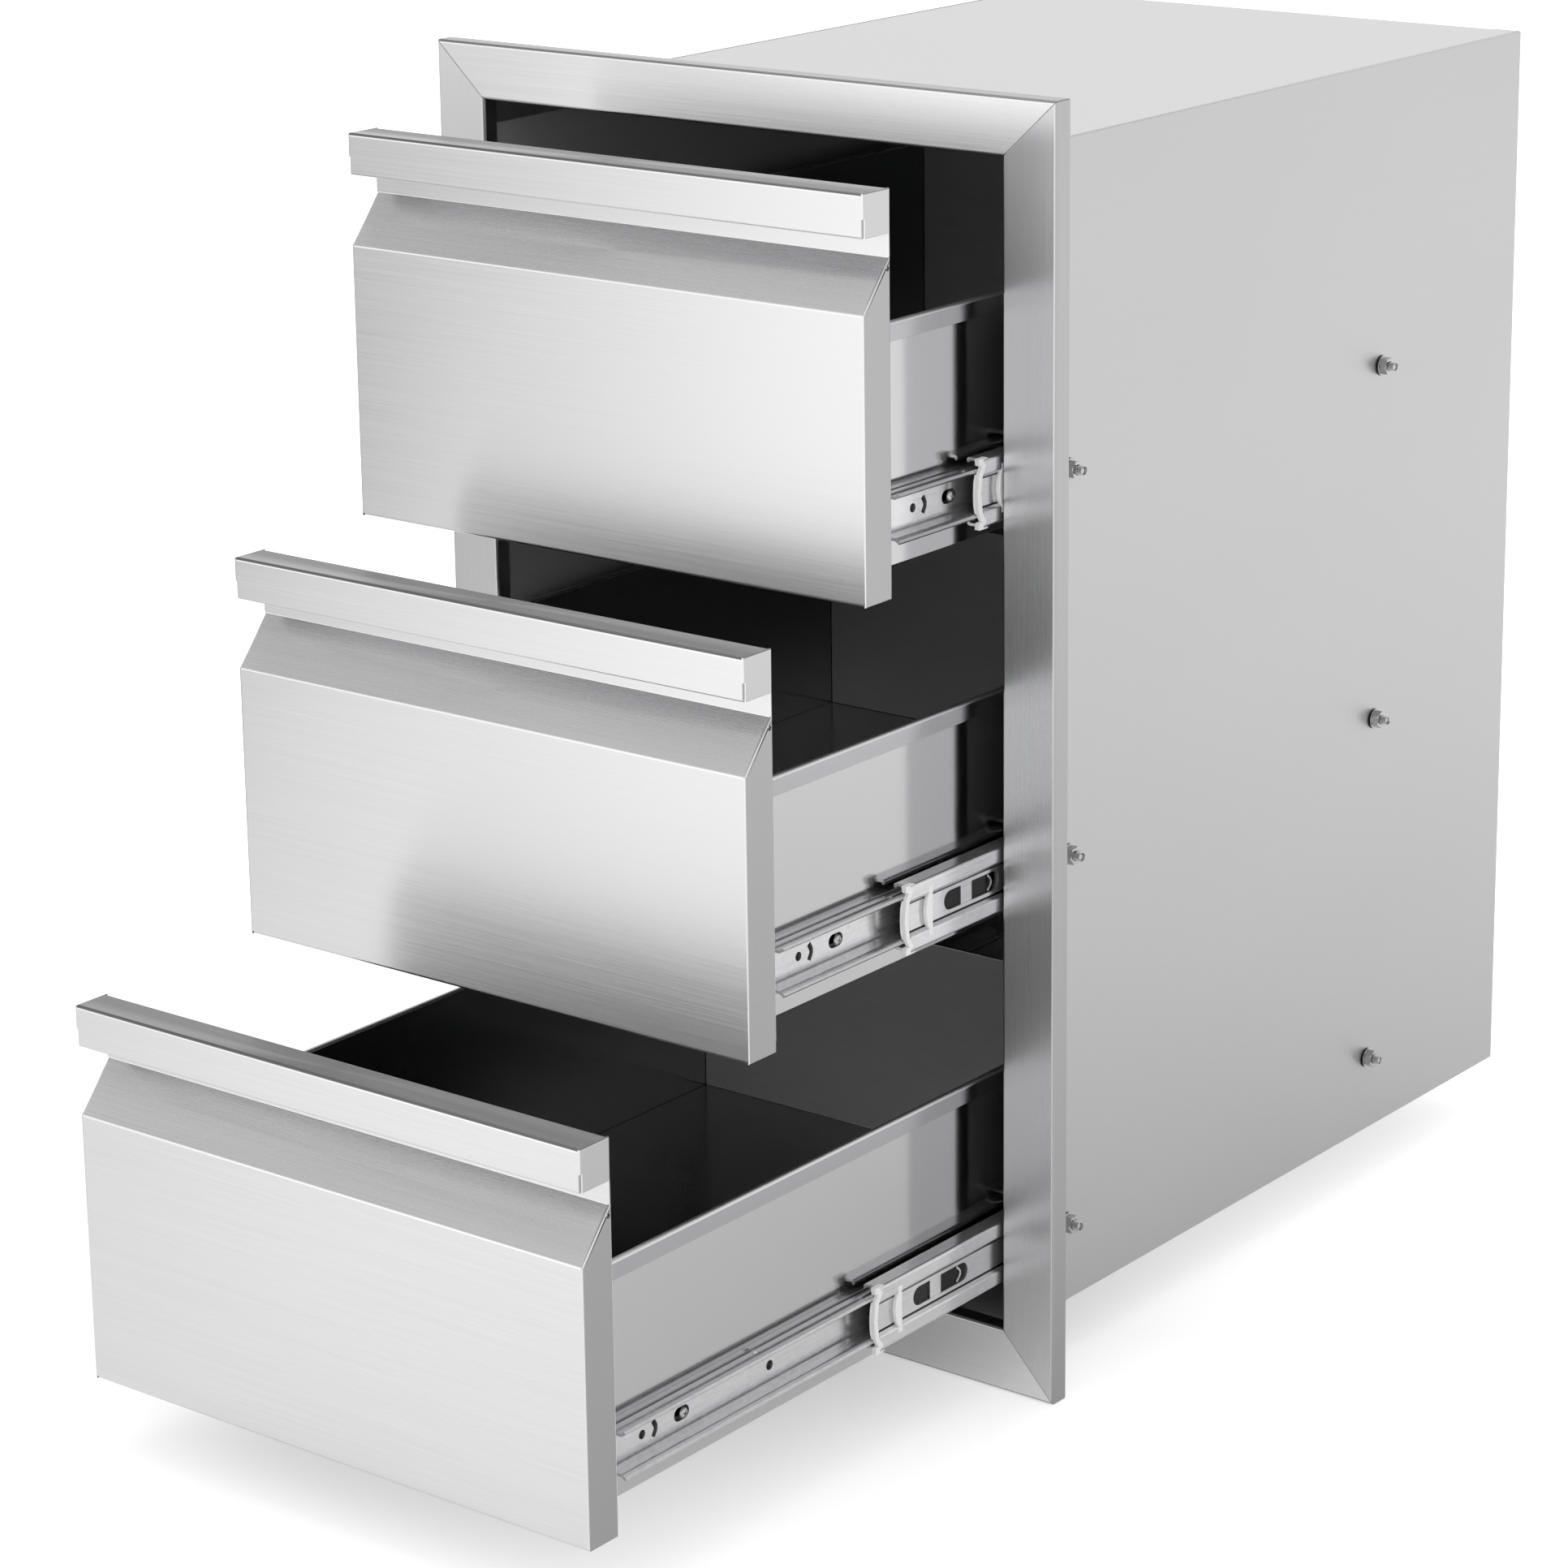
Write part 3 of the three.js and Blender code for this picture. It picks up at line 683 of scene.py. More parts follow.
class UNIT_OT_cabinet(bpy.types.Operator):
    """Folds the cabinet's sides, top and bottom, and sets its flat back"""
    bl_idname = "drawer_unit.cabinet"
    bl_label = "Cabinet"

    def execute(self, context):
        sheet = context.scene.unit_sheet
        for name, sign in SIDES:
            node = f"cabinet_{name}_side"
            lo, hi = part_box(node)
            corners = [(WALL_OUTER_X, lo.y), (WALL_OUTER_X, hi.y), (WALL_OUTER_X - (hi.x - lo.x), hi.y)]
            lay = mirrored(along_z, sign)
            shell = Shell().fold(rounded(corners, sheet.bend), sheet.sheet, lay, lo.z, hi.z)
            # The sides take a darker copy of the cabinet's steel than its top, bottom and back: painted shade
            self.finish_sheet(node, shell, "side_steel", sheet.edge * SIDE_EDGE_GAIN, 0, sign)
        for name, sign in (("top", 1), ("bottom", -1)):
            node = f"cabinet_{name}"
            lo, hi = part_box(node)
            outer, inner = (hi.z, lo.z) if sign > 0 else (lo.z, hi.z)
            half = hi.x + LID_OVERLAP
            corners = [(half, inner), (half, outer), (-half, outer), (-half, inner)][::sign]
            shell = Shell().fold(rounded(corners, sheet.bend), sheet.sheet, along_y, lo.y, hi.y)
            self.finish_sheet(node, shell, "lid_steel", sheet.edge, 2, sign)
        self.finish_sheet("cabinet_back", node_plate("cabinet_back"), "lid_steel", sheet.edge, 1, 1)
        return {"FINISHED"}

    @staticmethod
    def finish_sheet(node, shell, finish, edge, axis, sign):
        """One sheet of the cabinet, dull where it looks into the cabinet along an axis."""
        def pick(centre, normal):
            return "bay_steel" if normal[axis] * sign < -SQUARE_ON else finish

        dress(node, shell, (finish, "bay_steel"), "cabinet", edge, pick=pick)


# Drawers: the finishes of their pieces
# The front is one sheet: its side faces and its lip's ends and top take darker copies of its steel as painted
# shade, and its folds a lighter copy as painted highlight
FRONT_FINISHES = ("front_steel", "slant_steel", "cheek_steel", "cap_steel", "mill_steel", "lip_steel",
                  "rail_steel")
WALL_FINISHES = ("wall_steel", "inner_steel", "rim_steel", "lid_steel")
BOX_FINISHES = ("wall_steel", "inner_steel", "back_steel")
# The front's sheet keeps this share of its thickness, so that its layers don't touch
LAYER_SHARE = 0.96
SHUT_FOLD = 0.04 * MM
# The rounded rims of the side faces and of the lip's ends, as shares of a fold
CHEEK_RIM_SHARE, CAP_RIM_SHARE = 0.5, 0.35
# The relief hole's place, in from the back and down from the slant's end
RELIEF_IN, RELIEF_DOWN = 1.8 * MM, 4.2 * MM
# The wall's hem: how far it hangs down, its bends, and where its outer band starts
HEM_DROP, HEM_BEND, HEM_BAND = 8 * MM, 0.9 * MM, 0.3 * MM
# The share of the normal along an axis, from which a face of the front or of a wall has its finish
CHEEK_ON, BACK_ON, LIP_ON, SLANT_ON, PAINTED_HIGHLIGHT_FOLD = 0.75, 0.6, 0.5, 0.3, (0.04, 0.6)
HEM_TOP_ON, INSIDE_ON = 0.3, 0.5


class UNIT_OT_drawer_fronts(bpy.types.Operator):
    """Folds each drawer's front with its lip handle, closes its ends and sets the inner sheet behind it"""
    bl_idname = "drawer_unit.drawer_fronts"
    bl_label = "Drawer fronts"

    def execute(self, context):
        sheet, front = context.scene.unit_sheet, context.scene.unit_front
        for name in DRAWERS:
            self.front(name, sheet, front)
            node = f"drawer_{name}_front_liner"
            dress(node, node_plate(node), ("mill_steel",), f"drawer_{name}", sheet.edge)
        return {"FINISHED"}

    @staticmethod
    def front(name, sheet, front):
        node = f"drawer_{name}_front_panel"
        lo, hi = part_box(node)
        thick = sheet.sheet * LAYER_SHARE
        depth, top, half = hi.y - lo.y, hi.z - lo.z, hi.x
        under, behind = top - thick, depth - thick
        hem_y, hem_z = thick + (sheet.sheet - thick) * 2, front.lip + front.hem
        corners = [
            (hem_y, hem_z), (hem_y, front.lip + thick), (thick, front.lip + thick), (thick, under),
            (behind, under), (behind, front.slant), (0, front.face), (0, 0), (depth, 0),
        ]
        inner_fold = front.fold - thick
        path = rounded(corners, [SHUT_FOLD] * 2 + [inner_fold] * 3 + [front.fold] * 2)

        def lay(u, v, w):
            return Vector((w, lo.y + u, lo.z + v))

        shell = Shell().fold(path, thick, lay, lo.x + thick, half - thick)
        cheek = [(0, 0), (depth, 0), (depth, front.slant), (0, front.face)]
        cap = [(hem_y, front.lip), (behind, front.lip), (behind, front.slant), (depth, front.slant),
               (depth, top), (0, top), (0, hem_z), (hem_y, hem_z)]
        hole = ring((depth - RELIEF_IN, front.slant - RELIEF_DOWN), front.relief)
        for sign in (-1, 1):
            ends = (sign * (half - thick), sign * half)
            shell.plate(cheek, lay, *ends, holes=[hole], rim=front.fold * CHEEK_RIM_SHARE)
            shell.plate(cap, lay, *ends, rim=front.fold * CAP_RIM_SHARE)
        slant_top = lo.z + front.slant

        def pick(centre, normal):
            """The side faces in painted shade, then the back, the lip's top in painted shade, the folds with
            a painted highlight, the slant and the face.
            """
            above = centre.z > slant_top
            if abs(normal.x) > CHEEK_ON:
                return "cap_steel" if above else "cheek_steel"
            if normal.y > BACK_ON or (normal.z < -BACK_ON and above):
                return "mill_steel"
            if above and normal.z > LIP_ON:
                return "lip_steel"
            if PAINTED_HIGHLIGHT_FOLD[0] < normal.z < PAINTED_HIGHLIGHT_FOLD[1]:
                return "rail_steel"
            return "slant_steel" if normal.z > SLANT_ON else "front_steel"

        dress(node, shell, FRONT_FINISHES, f"drawer_{name}", pick=pick)


class UNIT_OT_drawer_boxes(bpy.types.Operator):
    """Folds each drawer's walls with their outward hems, and its floor and back"""
    bl_idname = "drawer_unit.drawer_boxes"
    bl_label = "Drawer boxes"

    def execute(self, context):
        sheet = context.scene.unit_sheet
        for name in DRAWERS:
            for side, sign in SIDES:
                self.wall(name, side, sign, sheet)
            self.floor_and_back(name, sheet)
        return {"FINISHED"}

    @staticmethod
    def wall(name, side, sign, sheet):
        node = f"drawer_{name}_{side}_wall"
        lo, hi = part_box(node)
        hem_x = max(abs(lo.x), abs(hi.x)) - sheet.sheet
        face = min(abs(lo.x), abs(hi.x)) + sheet.sheet
        under = hi.z - sheet.sheet
        corners = [(face, lo.z), (face, under), (hem_x, under), (hem_x, hi.z - HEM_DROP)]
        lay = mirrored(along_y, sign)
        shell = Shell().fold(rounded(corners, HEM_BEND), sheet.sheet, lay, lo.y, hi.y)

        def pick(centre, normal):
            # The hem's top takes the lighter cabinet-top finish as a painted highlight, the hem's band a
            # darker copy of the wall's steel as painted shade, and the inside a dark copy as painted shade
            if normal.z > HEM_TOP_ON:
                return "lid_steel"
            if abs(centre.x) > face + HEM_BAND:
                return "rim_steel"
            return "inner_steel" if normal.x * sign < -INSIDE_ON else "wall_steel"

        dress(node, shell, WALL_FINISHES, f"drawer_{name}", sheet.edge, pick=pick)

    @staticmethod
    def floor_and_back(name, sheet):
        node = f"drawer_{name}_floor_and_back"
        lo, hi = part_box(node)
        corners = [(lo.y, lo.z), (hi.y, lo.z), (hi.y, hi.z)]
        shell = Shell().fold(rounded(corners, sheet.bend), sheet.sheet, along_x, lo.x, hi.x)

        def pick(centre, normal):
            # The floor's top takes the dark inner finish, painted shade; the back's inner face keeps a light
            # finish
            if normal.y < -SQUARE_ON:
                return "back_steel"
            return "wall_steel" if normal.y > SQUARE_ON or normal.z < -SQUARE_ON else "inner_steel"

        dress(node, shell, BOX_FINISHES, f"drawer_{name}", sheet.edge, pick=pick)


# Slides, in millimetres
# Half of each member's section: depth off the cabinet wall, and height from the member's upper edge
OUTER_TRACK = ((9.7, -2.6), (10.5, -1.5), (9.6, 0), (0.2, 0))
MIDDLE_TRACK = ((9.9, -2.3), (10.6, -1.2), (9.8, 0), (2.1, 0), (2.1, -6.2), (3.9, -8))
INNER_TRACK = ((4.2, 0.7), (4.9, 0), (6.0, -0.6), (8.0, -0.6), (9.2, 0), (12.5, 0))
INNER_BEND = 0.9
MEMBER_EDGE = 0.14 * MM
# Places along the middle member, from its front end: slots by start, end and half height, then round holes
MIDDLE_SLOTS = ((25, 63, 4.1), (150, 176, 3.2), (286, 312, 3.2))
MIDDLE_HOLES = (102, 118, 232, 330)
MIDDLE_HOLE = 2.2
# The slots' cut depths, then the crease beside the web that is painted black as shade, by its depths and the
# upward share of its faces' normals
MIDDLE_CUT, MIDDLE_CREASE, MIDDLE_CREASE_ON = (1, 7), (3.4, 3.88), 0.12
# Behind the front slot: a dark strip, partly the retainer and partly painted shade, and before it a bridge
# and a crescent
STRIP = ((23, -5.6), (66, -5.6), (66, 5.6), (23, 5.6))
BRIDGE = ((37, -5.4), (44.5, -5.4), (44.5, 5.4), (37, 5.4))
CRESCENT = ((56, -3.7), (60, 0), (56, 3.7))
CRESCENT_BEND, CRESCENT_WIDE = 3.6, 0.9
BRIDGE_NEAR, BRIDGE_FAR, STRIP_FAR = 4.15, 4.9, 5.5
BRIDGE_EDGE, BRIDGE_SIDE = 0.12, 0.1
# Places along the inner member, from the drawer's front face
LOCATING_HOLE, LOCATING_RADIUS = 41, 1.9
BOW = ((48.6, -4), (51, 0), (48.6, 4))
BOW_BEND, BOW_WIDE = 4, 2.4
SCREW_SLOTS = (61.5, 205, 330)
SLOT_BEFORE, SLOT_AFTER, SLOT_HALF = 1.2, 8, 2.9
SCREW_IN_SLOT = 4
INNER_HOLES = (120, 190, 268, 300)
INNER_HOLE = 2.1
# The holes are cut down to a thin floor; that floor and the creases beside the web are painted black as shade
INNER_CUT, INNER_FLOOR, FLOOR_SPAN = 9.6, 12.38, 0.03
INNER_CREASE, INNER_CREASE_ON, CREASE_INSET = (10.7, 11.28), 0.3, 1
DIMPLE = ((0, 0.9), (0.7, 0.75), (1.2, 0.3), (1.5, -0.4), (0, -0.5))
DIMPLE_PLACE, DIMPLE_DEPTH, DIMPLE_STEPS = 109.5, 10.6, 16


def slides():
    """Each slide's drawer, side, sign on X and the height of its centre line."""
    for side, sign in SIDES:
        for name in DRAWERS:
            lo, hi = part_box(f"slide_{name}_{side}_outer")
            yield name, side, sign, (lo.z + hi.z) / 2


def slide_lay(sign, z, y=0.0):
    """A section runs t from the cabinet wall to the drawer and v up from the centre line."""
    return lambda t, v, w: Vector((sign * (WALL_X - t), y + w, z + v))


def depths(sign, near, far):
    """Two depths off the cabinet wall in millimetres, as places on X."""
    return sorted(sign * (WALL_X - depth * MM) for depth in (near, far))


def member_path(half, track, bend, first=1):
    """The whole section of a member, from its upper track to its lower one, or back where first is -1."""
    one = [(t, first * v) for t, v in in_mm(track, 0, half)]
    other = [(t, -v) for t, v in one]
    return rounded(one + other[::-1], bend)


class UNIT_OT_slides(bpy.types.Operator):
    """Rolls the three members of each slide, with their ball tracks, holes and slots"""
    bl_idname = "drawer_unit.slides"
    bl_label = "Slides"

    def execute(self, context):
        slide = context.scene.unit_slide
        for name, side, sign, z in slides():
            self.outer(name, side, sign, z, slide)
            self.middle(name, side, sign, z, slide)
            self.slot_parts(name, side, sign, z)
            self.inner(name, side, sign, z, slide)
            self.dimples(name, side, sign, z)
        return {"FINISHED"}

    @staticmethod
    def member(node, path, slide, sign, z, body, cutter=None, pick=None):
        lo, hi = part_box(node)
        shell = Shell().fold(path, slide.sheet, slide_lay(sign, z), lo.y, hi.y)
        dress(node, shell, ("zinc", "black_steel"), body, MEMBER_EDGE, limit=50, cutter=cutter,
              pick=pick)

    def outer(self, name, side, sign, z, slide):
        node = f"slide_{name}_{side}_outer"
        path = member_path(half_height(node), OUTER_TRACK, slide.bend)
        self.member(node, path, slide, sign, z, "cabinet")

    def middle(self, name, side, sign, z, slide):
        node = f"slide_{name}_{side}_middle"
        path = member_path(half_height(node), MIDDLE_TRACK, slide.bend)
        y = low(node).y
        cutter = Shell()
        reach = depths(sign, *MIDDLE_CUT)
        for start, end, tall in MIDDLE_SLOTS:
            cutter.plate(slot_outline(y + start * MM, y + end * MM, z, tall * MM), along_x, *reach)
        for place in MIDDLE_HOLES:
            cutter.plate(ring((y + place * MM, z), MIDDLE_HOLE * MM), along_x, *reach)
        near, far = (depth * MM for depth in MIDDLE_CREASE)

        def pick(centre, normal):
            """Painted shade: black in the crease between the web and the rolled flanges."""
            crease = near < WALL_X - abs(centre.x) < far and abs(normal.z) > MIDDLE_CREASE_ON
            return "black_steel" if crease else "zinc"

        self.member(node, path, slide, sign, z, f"slide_carriage_{name}_{side}", cutter, pick)

    @staticmethod
    def slot_parts(name, side, sign, z):
        """The retainer behind the front slot: a dark strip, partly painted shade, with a bridge and a
        crescent before it.
        """
        y = low(f"slide_{name}_{side}_middle").y
        shell = Shell()
        shell.plate(in_mm(STRIP, y, z), along_x, *depths(sign, BRIDGE_FAR, STRIP_FAR))
        shell.plate(in_mm(BRIDGE, y, z), along_x, *depths(sign, BRIDGE_NEAR, BRIDGE_FAR))
        near, far = (sign * (WALL_X - depth * MM) for depth in (BRIDGE_NEAR, BRIDGE_FAR))
        crescent = rounded(in_mm(CRESCENT, y, z), CRESCENT_BEND * MM)
        shell.fold(crescent, CRESCENT_WIDE * MM, along_x, near, far)
        edge = abs(far) + BRIDGE_SIDE * MM

        def pick(centre, normal):
            return "zinc" if abs(centre.x) > edge else "black_steel"

        obj = soften(mesh_object(f"slide_{name}_{side}_slot_bridge", shell), BRIDGE_EDGE * MM)
        finish_piece(obj, ("black_steel", "zinc"), f"slide_carriage_{name}_{side}", pick=pick)

    def inner(self, name, side, sign, z, slide):
        node = f"slide_{name}_{side}_inner"
        half = half_height(node)
        path = member_path(half, INNER_TRACK, INNER_BEND * MM, -1)
        front = low(f"drawer_{name}_front_panel").y
        cutter = Shell()
        reach = depths(sign, INNER_CUT, INNER_FLOOR)
        cutter.plate(ring((front + LOCATING_HOLE * MM, z), LOCATING_RADIUS * MM), along_x, *reach)
        cutter.fold(rounded(in_mm(BOW, front, z), BOW_BEND * MM), BOW_WIDE * MM, along_x, *reach)
        for place in SCREW_SLOTS:
            ends = (front + (place - SLOT_BEFORE) * MM, front + (place + SLOT_AFTER) * MM)
            cutter.plate(slot_outline(*ends, z, SLOT_HALF * MM), along_x, *reach)
        for place in INNER_HOLES:
            cutter.plate(ring((front + place * MM, z), INNER_HOLE * MM), along_x, *reach)
        near, far = (depth * MM for depth in INNER_CREASE)

        def pick(centre, normal):
            """Painted shade: black on the floors of the holes and in the creases beside the web."""
            depth = WALL_X - abs(centre.x)
            inside = abs(centre.z - z) < half - CREASE_INSET * MM
            crease = near < depth < far and abs(normal.z) > INNER_CREASE_ON and inside
            floor = abs(depth - INNER_FLOOR * MM) < FLOOR_SPAN * MM and abs(normal.x) > FLAT_ON
            return "black_steel" if crease or floor else "zinc"

        self.member(node, path, slide, sign, z, f"drawer_{name}", cutter, pick)

    @staticmethod
    def dimples(name, side, sign, z):
        """The small dimples pressed out of the inner member's upper and lower tracks."""
        half = half_height(f"slide_{name}_{side}_inner")
        y = low(f"drawer_{name}_front_panel").y + DIMPLE_PLACE * MM
        shell = Shell()
        for up in (1, -1):
            spot = (sign * (WALL_X - DIMPLE_DEPTH * MM), y, z + up * half)
            shell.turned(in_mm(DIMPLE), DIMPLE_STEPS, spot, (0, 0, up))
        obj = mesh_object(f"slide_{name}_{side}_dimples", shell)
        finish_piece(obj, ("zinc",), f"drawer_{name}")


# End stops, in millimetres from the front end of the middle member; depths are off the cabinet wall
STOP_BULGE = ((13.0, -8.3), (11.2, -5.2), (10.3, 0), (11.2, 5.2), (13.0, 8.3))
STOP_BACK = ((14.9, 8.3), (14.9, -8.3))
STOP_KNOB = ((12.4, 7.6), (12.4, 10.2), (15.2, 10.2), (15.2, 7.6))
STOP_HOOK = ((-2.9, -2.4), (-3.4, 0.5), (2.2, 0.5), (3.4, 0.06), (-0.1, 0.06), (-0.3, -2.6))
BULGE_BEND, STOP_EDGE = 3, 0.3
STOP_NEAR, RIB_FAR, HOOK_FAR, KNOB_FAR = 1.9, 3.9, 4.4, 2.9
# Two posts that bow forwards, and where their shoulders lie as shares of their bow and half height
POST = dict(place=0.0, bow=4.2, thick=2.4, near=STOP_NEAR, far=RIB_FAR)
BUMPER = dict(place=-3.0, bow=1.25, thick=2.3, near=3.8, far=4.6)
POST_INSET, BUMPER_REACH = 0.9, 8.2
SHOULDER_BOW_SHARE, SHOULDER_REACH_SHARE, BEND_REACH_SHARE = 0.75, 0.62, 0.5


class UNIT_OT_end_stops(bpy.types.Operator):
    """Moulds the white end stop of each middle slide member"""
    bl_idname = "drawer_unit.end_stops"
    bl_label = "End stops"

    def execute(self, context):
        for name, side, sign, z in slides():
            member = f"slide_{name}_{side}_middle"
            y, half = low(member).y, half_height(member)
            stop = Shell()

            def post(reach, place, bow, thick, near, far):
                """A post that bows forwards from its two ends."""
                front = y + (place - bow) * MM
                shoulder = y + (place - bow * SHOULDER_BOW_SHARE) * MM
                lift = reach * SHOULDER_REACH_SHARE
                path = [(y + place * MM, z - reach), (shoulder, z - lift), (front, z), (shoulder, z + lift),
                        (y + place * MM, z + reach)]
                ends = (sign * (WALL_X - depth * MM) for depth in (near, far))
                stop.fold(rounded(path, reach * BEND_REACH_SHARE), -thick * MM, along_x, *ends)

            def rib(outline, far):
                """A flat rib that stands off the cabinet wall."""
                stop.plate([(y + u, z + v) for u, v in outline], along_x, *depths(sign, STOP_NEAR, far))

            post(half - POST_INSET * MM, **POST)
            post(BUMPER_REACH * MM, **BUMPER)
            rib([*rounded(in_mm(STOP_BULGE), BULGE_BEND * MM), *in_mm(STOP_BACK)], RIB_FAR)
            for up in (-1, 1):
                rib([(u, up * v) for u, v in in_mm(STOP_HOOK, 0, half)], HOOK_FAR)
                rib([(u, up * v) for u, v in in_mm(STOP_KNOB)], KNOB_FAR)
            dress(f"slide_{name}_{side}_end_stop", stop, ("plastic",), f"slide_carriage_{name}_{side}",
                  STOP_EDGE * MM, segments=3)
        return {"FINISHED"}


# Fastenings and balls, set out by Geometry Nodes
def new_group(name, **inputs):
    """A Geometry Nodes tree that takes points and the named inputs, with its input node."""
    group = bpy.data.node_groups.new(name, "GeometryNodeTree")
    face = group.interface
    face.new_socket("Geometry", in_out="OUTPUT", socket_type="NodeSocketGeometry")
    for key, kind in {"Geometry": "Geometry", **inputs}.items():
        face.new_socket(key, in_out="INPUT", socket_type="NodeSocket" + kind)
    tree = Tree(group)
    return group, tree, tree.node("NodeGroupInput")


def close_group(tree, made, given):
    """Realizes what the tree made, gives it its finish and sends it out."""
    solid = tree.node("GeometryNodeRealizeInstances", {0: made})
    done = tree.node("GeometryNodeSetMaterial", {"Geometry": solid, "Material": given.other("Finish")})
    tree.node("NodeGroupOutput", {0: done})


def set_out_tree():
    """Sets a copy of a piece on each point, each turned about its own axis by a seeded angle."""
    group, tree, given = new_group("set_out", Piece="Object", Turn="Float", Seed="Int", Finish="Material")
    copy = tree.node("GeometryNodeObjectInfo", {"Object": given.other("Piece")}, out="Geometry")
    side = tree.node("GeometryNodeInputNamedAttribute", {"Name": "side"}, data_type="FLOAT")
    angle = tree.node("FunctionNodeRandomValue",
                      {2: 0.0, 3: given.other("Turn"), "Seed": given.other("Seed")}, out=1, data_type="FLOAT")
    facing = tree.node("ShaderNodeCombineXYZ", {1: side * (math.pi / 2)})
    own = tree.node("ShaderNodeCombineXYZ", {2: angle})
    copies = tree.node("GeometryNodeInstanceOnPoints",
                       {"Points": given.other("Geometry"), "Instance": copy, "Rotation": facing})
    spun = tree.node("GeometryNodeRotateInstances", {"Instances": copies, "Rotation": own})
    close_group(tree, spun, given)
    return group


def ball_row_tree():
    """A row of balls along Y from each point."""
    group, tree, given = new_group("ball_row", Radius="Float", Step="Float", Count="Int", Finish="Material")
    stride = tree.node("ShaderNodeCombineXYZ", {1: given.other("Step")})
    line = tree.node("GeometryNodeMeshLine", {"Count": given.other("Count"), "Offset": stride}, mode="OFFSET")
    rows = tree.node("GeometryNodeInstanceOnPoints", {"Points": given.other("Geometry"), "Instance": line})
    places = tree.node("GeometryNodeRealizeInstances", {0: rows})
    ball = tree.node("GeometryNodeMeshIcoSphere", {"Radius": given.other("Radius"), "Subdivisions": 2})
    smooth = tree.node("GeometryNodeSetShadeSmooth", {0: ball})
    balls = tree.node("GeometryNodeInstanceOnPoints", {"Points": places, "Instance": smooth})
    close_group(tree, balls, given)
    return group


def spread(name, points, group, values, sides=None):
    """Runs a tree on a cloud of points and bakes what it makes into one object."""
    mesh = bpy.data.meshes.new(name)
    mesh.from_pydata(points, [], [])
    if sides:
        mesh.attributes.new("side", "FLOAT", "POINT").data.foreach_set("value", sides)
    obj = bpy.data.objects.new(name, mesh)
    bpy.context.scene.collection.objects.link(obj)
    modifier = obj.modifiers.new("set_out", "NODES")
    modifier.node_group = group
    sockets = {item.name: item.identifier for item in group.interface.items_tree
               if item.item_type == "SOCKET" and item.in_out == "INPUT"}
    for key, value in values.items():
        modifier[sockets[key]] = value
    evaluated_mesh(obj)
    if not obj.data.polygons:
        raise RuntimeError(f"{name} came out empty")
    return obj


# Profiles in millimetres: radius, and height off the inner face of the sheet that is clamped
BOLT_HEAD = ((0, -3.1), (2.4, -3.1), (3.2, -2.7), (3.6, -2.0), (3.6, -1.5), (2.0, -1.5), (2.0, 1.15),
             (0, 1.15))
BOLT_CORE = ((0, 4.0), (1.64, 4.0), (1.64, 7.2), (1.2, 7.75), (0, 7.8))
WASHER = ((2.05, 1.2), (4.3, 1.2), (4.6, 1.35), (4.6, 1.85), (4.3, 2.0), (2.05, 2.0), (2.05, 1.2))
NUT = ((2.02, 2.0), (3.5, 2.0), (4.04, 2.32), (4.04, 4.9), (3.5, 5.2), (2.3, 5.2), (2.02, 4.9), (2.02, 2.0))
SCREW_HEAD = ((0, 0), (2.1, 0), (2.3, 0.3), (2.2, 0.8), (1.8, 1.25), (1.2, 1.5), (0, 1.6))
ROUND_STEPS, WASHER_STEPS, NUT_STEPS = 24, 32, 36
NUT_ACROSS, NUT_LOW, NUT_HIGH = 7, 1, 7
THREAD_PITCH, THREAD_ROOT, THREAD_CREST = 0.7, 1.62, 2.0
THREAD_START, THREAD_TURNS, THREAD_STEPS = 4.6, 4.9, 16
# The thread's crest at its tip, and where a turn's crest starts and ends and its foot ends, in shares
TIP_CREST_SHARE, RIDGE_SHARES = 0.35, (0.35, 0.5, 0.86)
RECESS_HALF, RECESS_REACH, RECESS_LOW, RECESS_HIGH = 0.3, 1.3, 0.5, 3
# The washers' rims, between these depths off the wall, are painted black as shade
WASHER_RIM_SHADE, WASHER_FACE_ON, SCREW_STAND = (1.1, 1.95), 0.8, 1.35
BOLT_SEED, SCREW_SEED = 5, 11


def add_thread(shell):
    """Winds the bolt's thread ridge, which fades out towards the tip."""
    end = THREAD_START + THREAD_PITCH * THREAD_TURNS
    rows = []
    for k in range(int(THREAD_TURNS * THREAD_STEPS) + 1):
        angle = math.tau * k / THREAD_STEPS
        place = THREAD_START + THREAD_PITCH * k / THREAD_STEPS
        fade = min(1.0, (end - place) / THREAD_PITCH + TIP_CREST_SHARE)
        crest = THREAD_ROOT + (THREAD_CREST - THREAD_ROOT) * fade
        row = []
        for radius, rise in zip((THREAD_ROOT, crest, crest, THREAD_ROOT), (0.0, *RIDGE_SHARES)):
            spot = (radius * math.cos(angle), radius * math.sin(angle), place + THREAD_PITCH * rise)
            row.append(shell.bm.verts.new(Vector(spot) * MM))
        rows.append(row)
    for a, b in zip(rows, rows[1:]):
        for i in range(4):
            j = (i + 1) % 4
            shell.bm.faces.new((a[i], a[j], b[j], b[i]))
    for row in (rows[0], rows[-1]):
        shell.bm.faces.new(row)


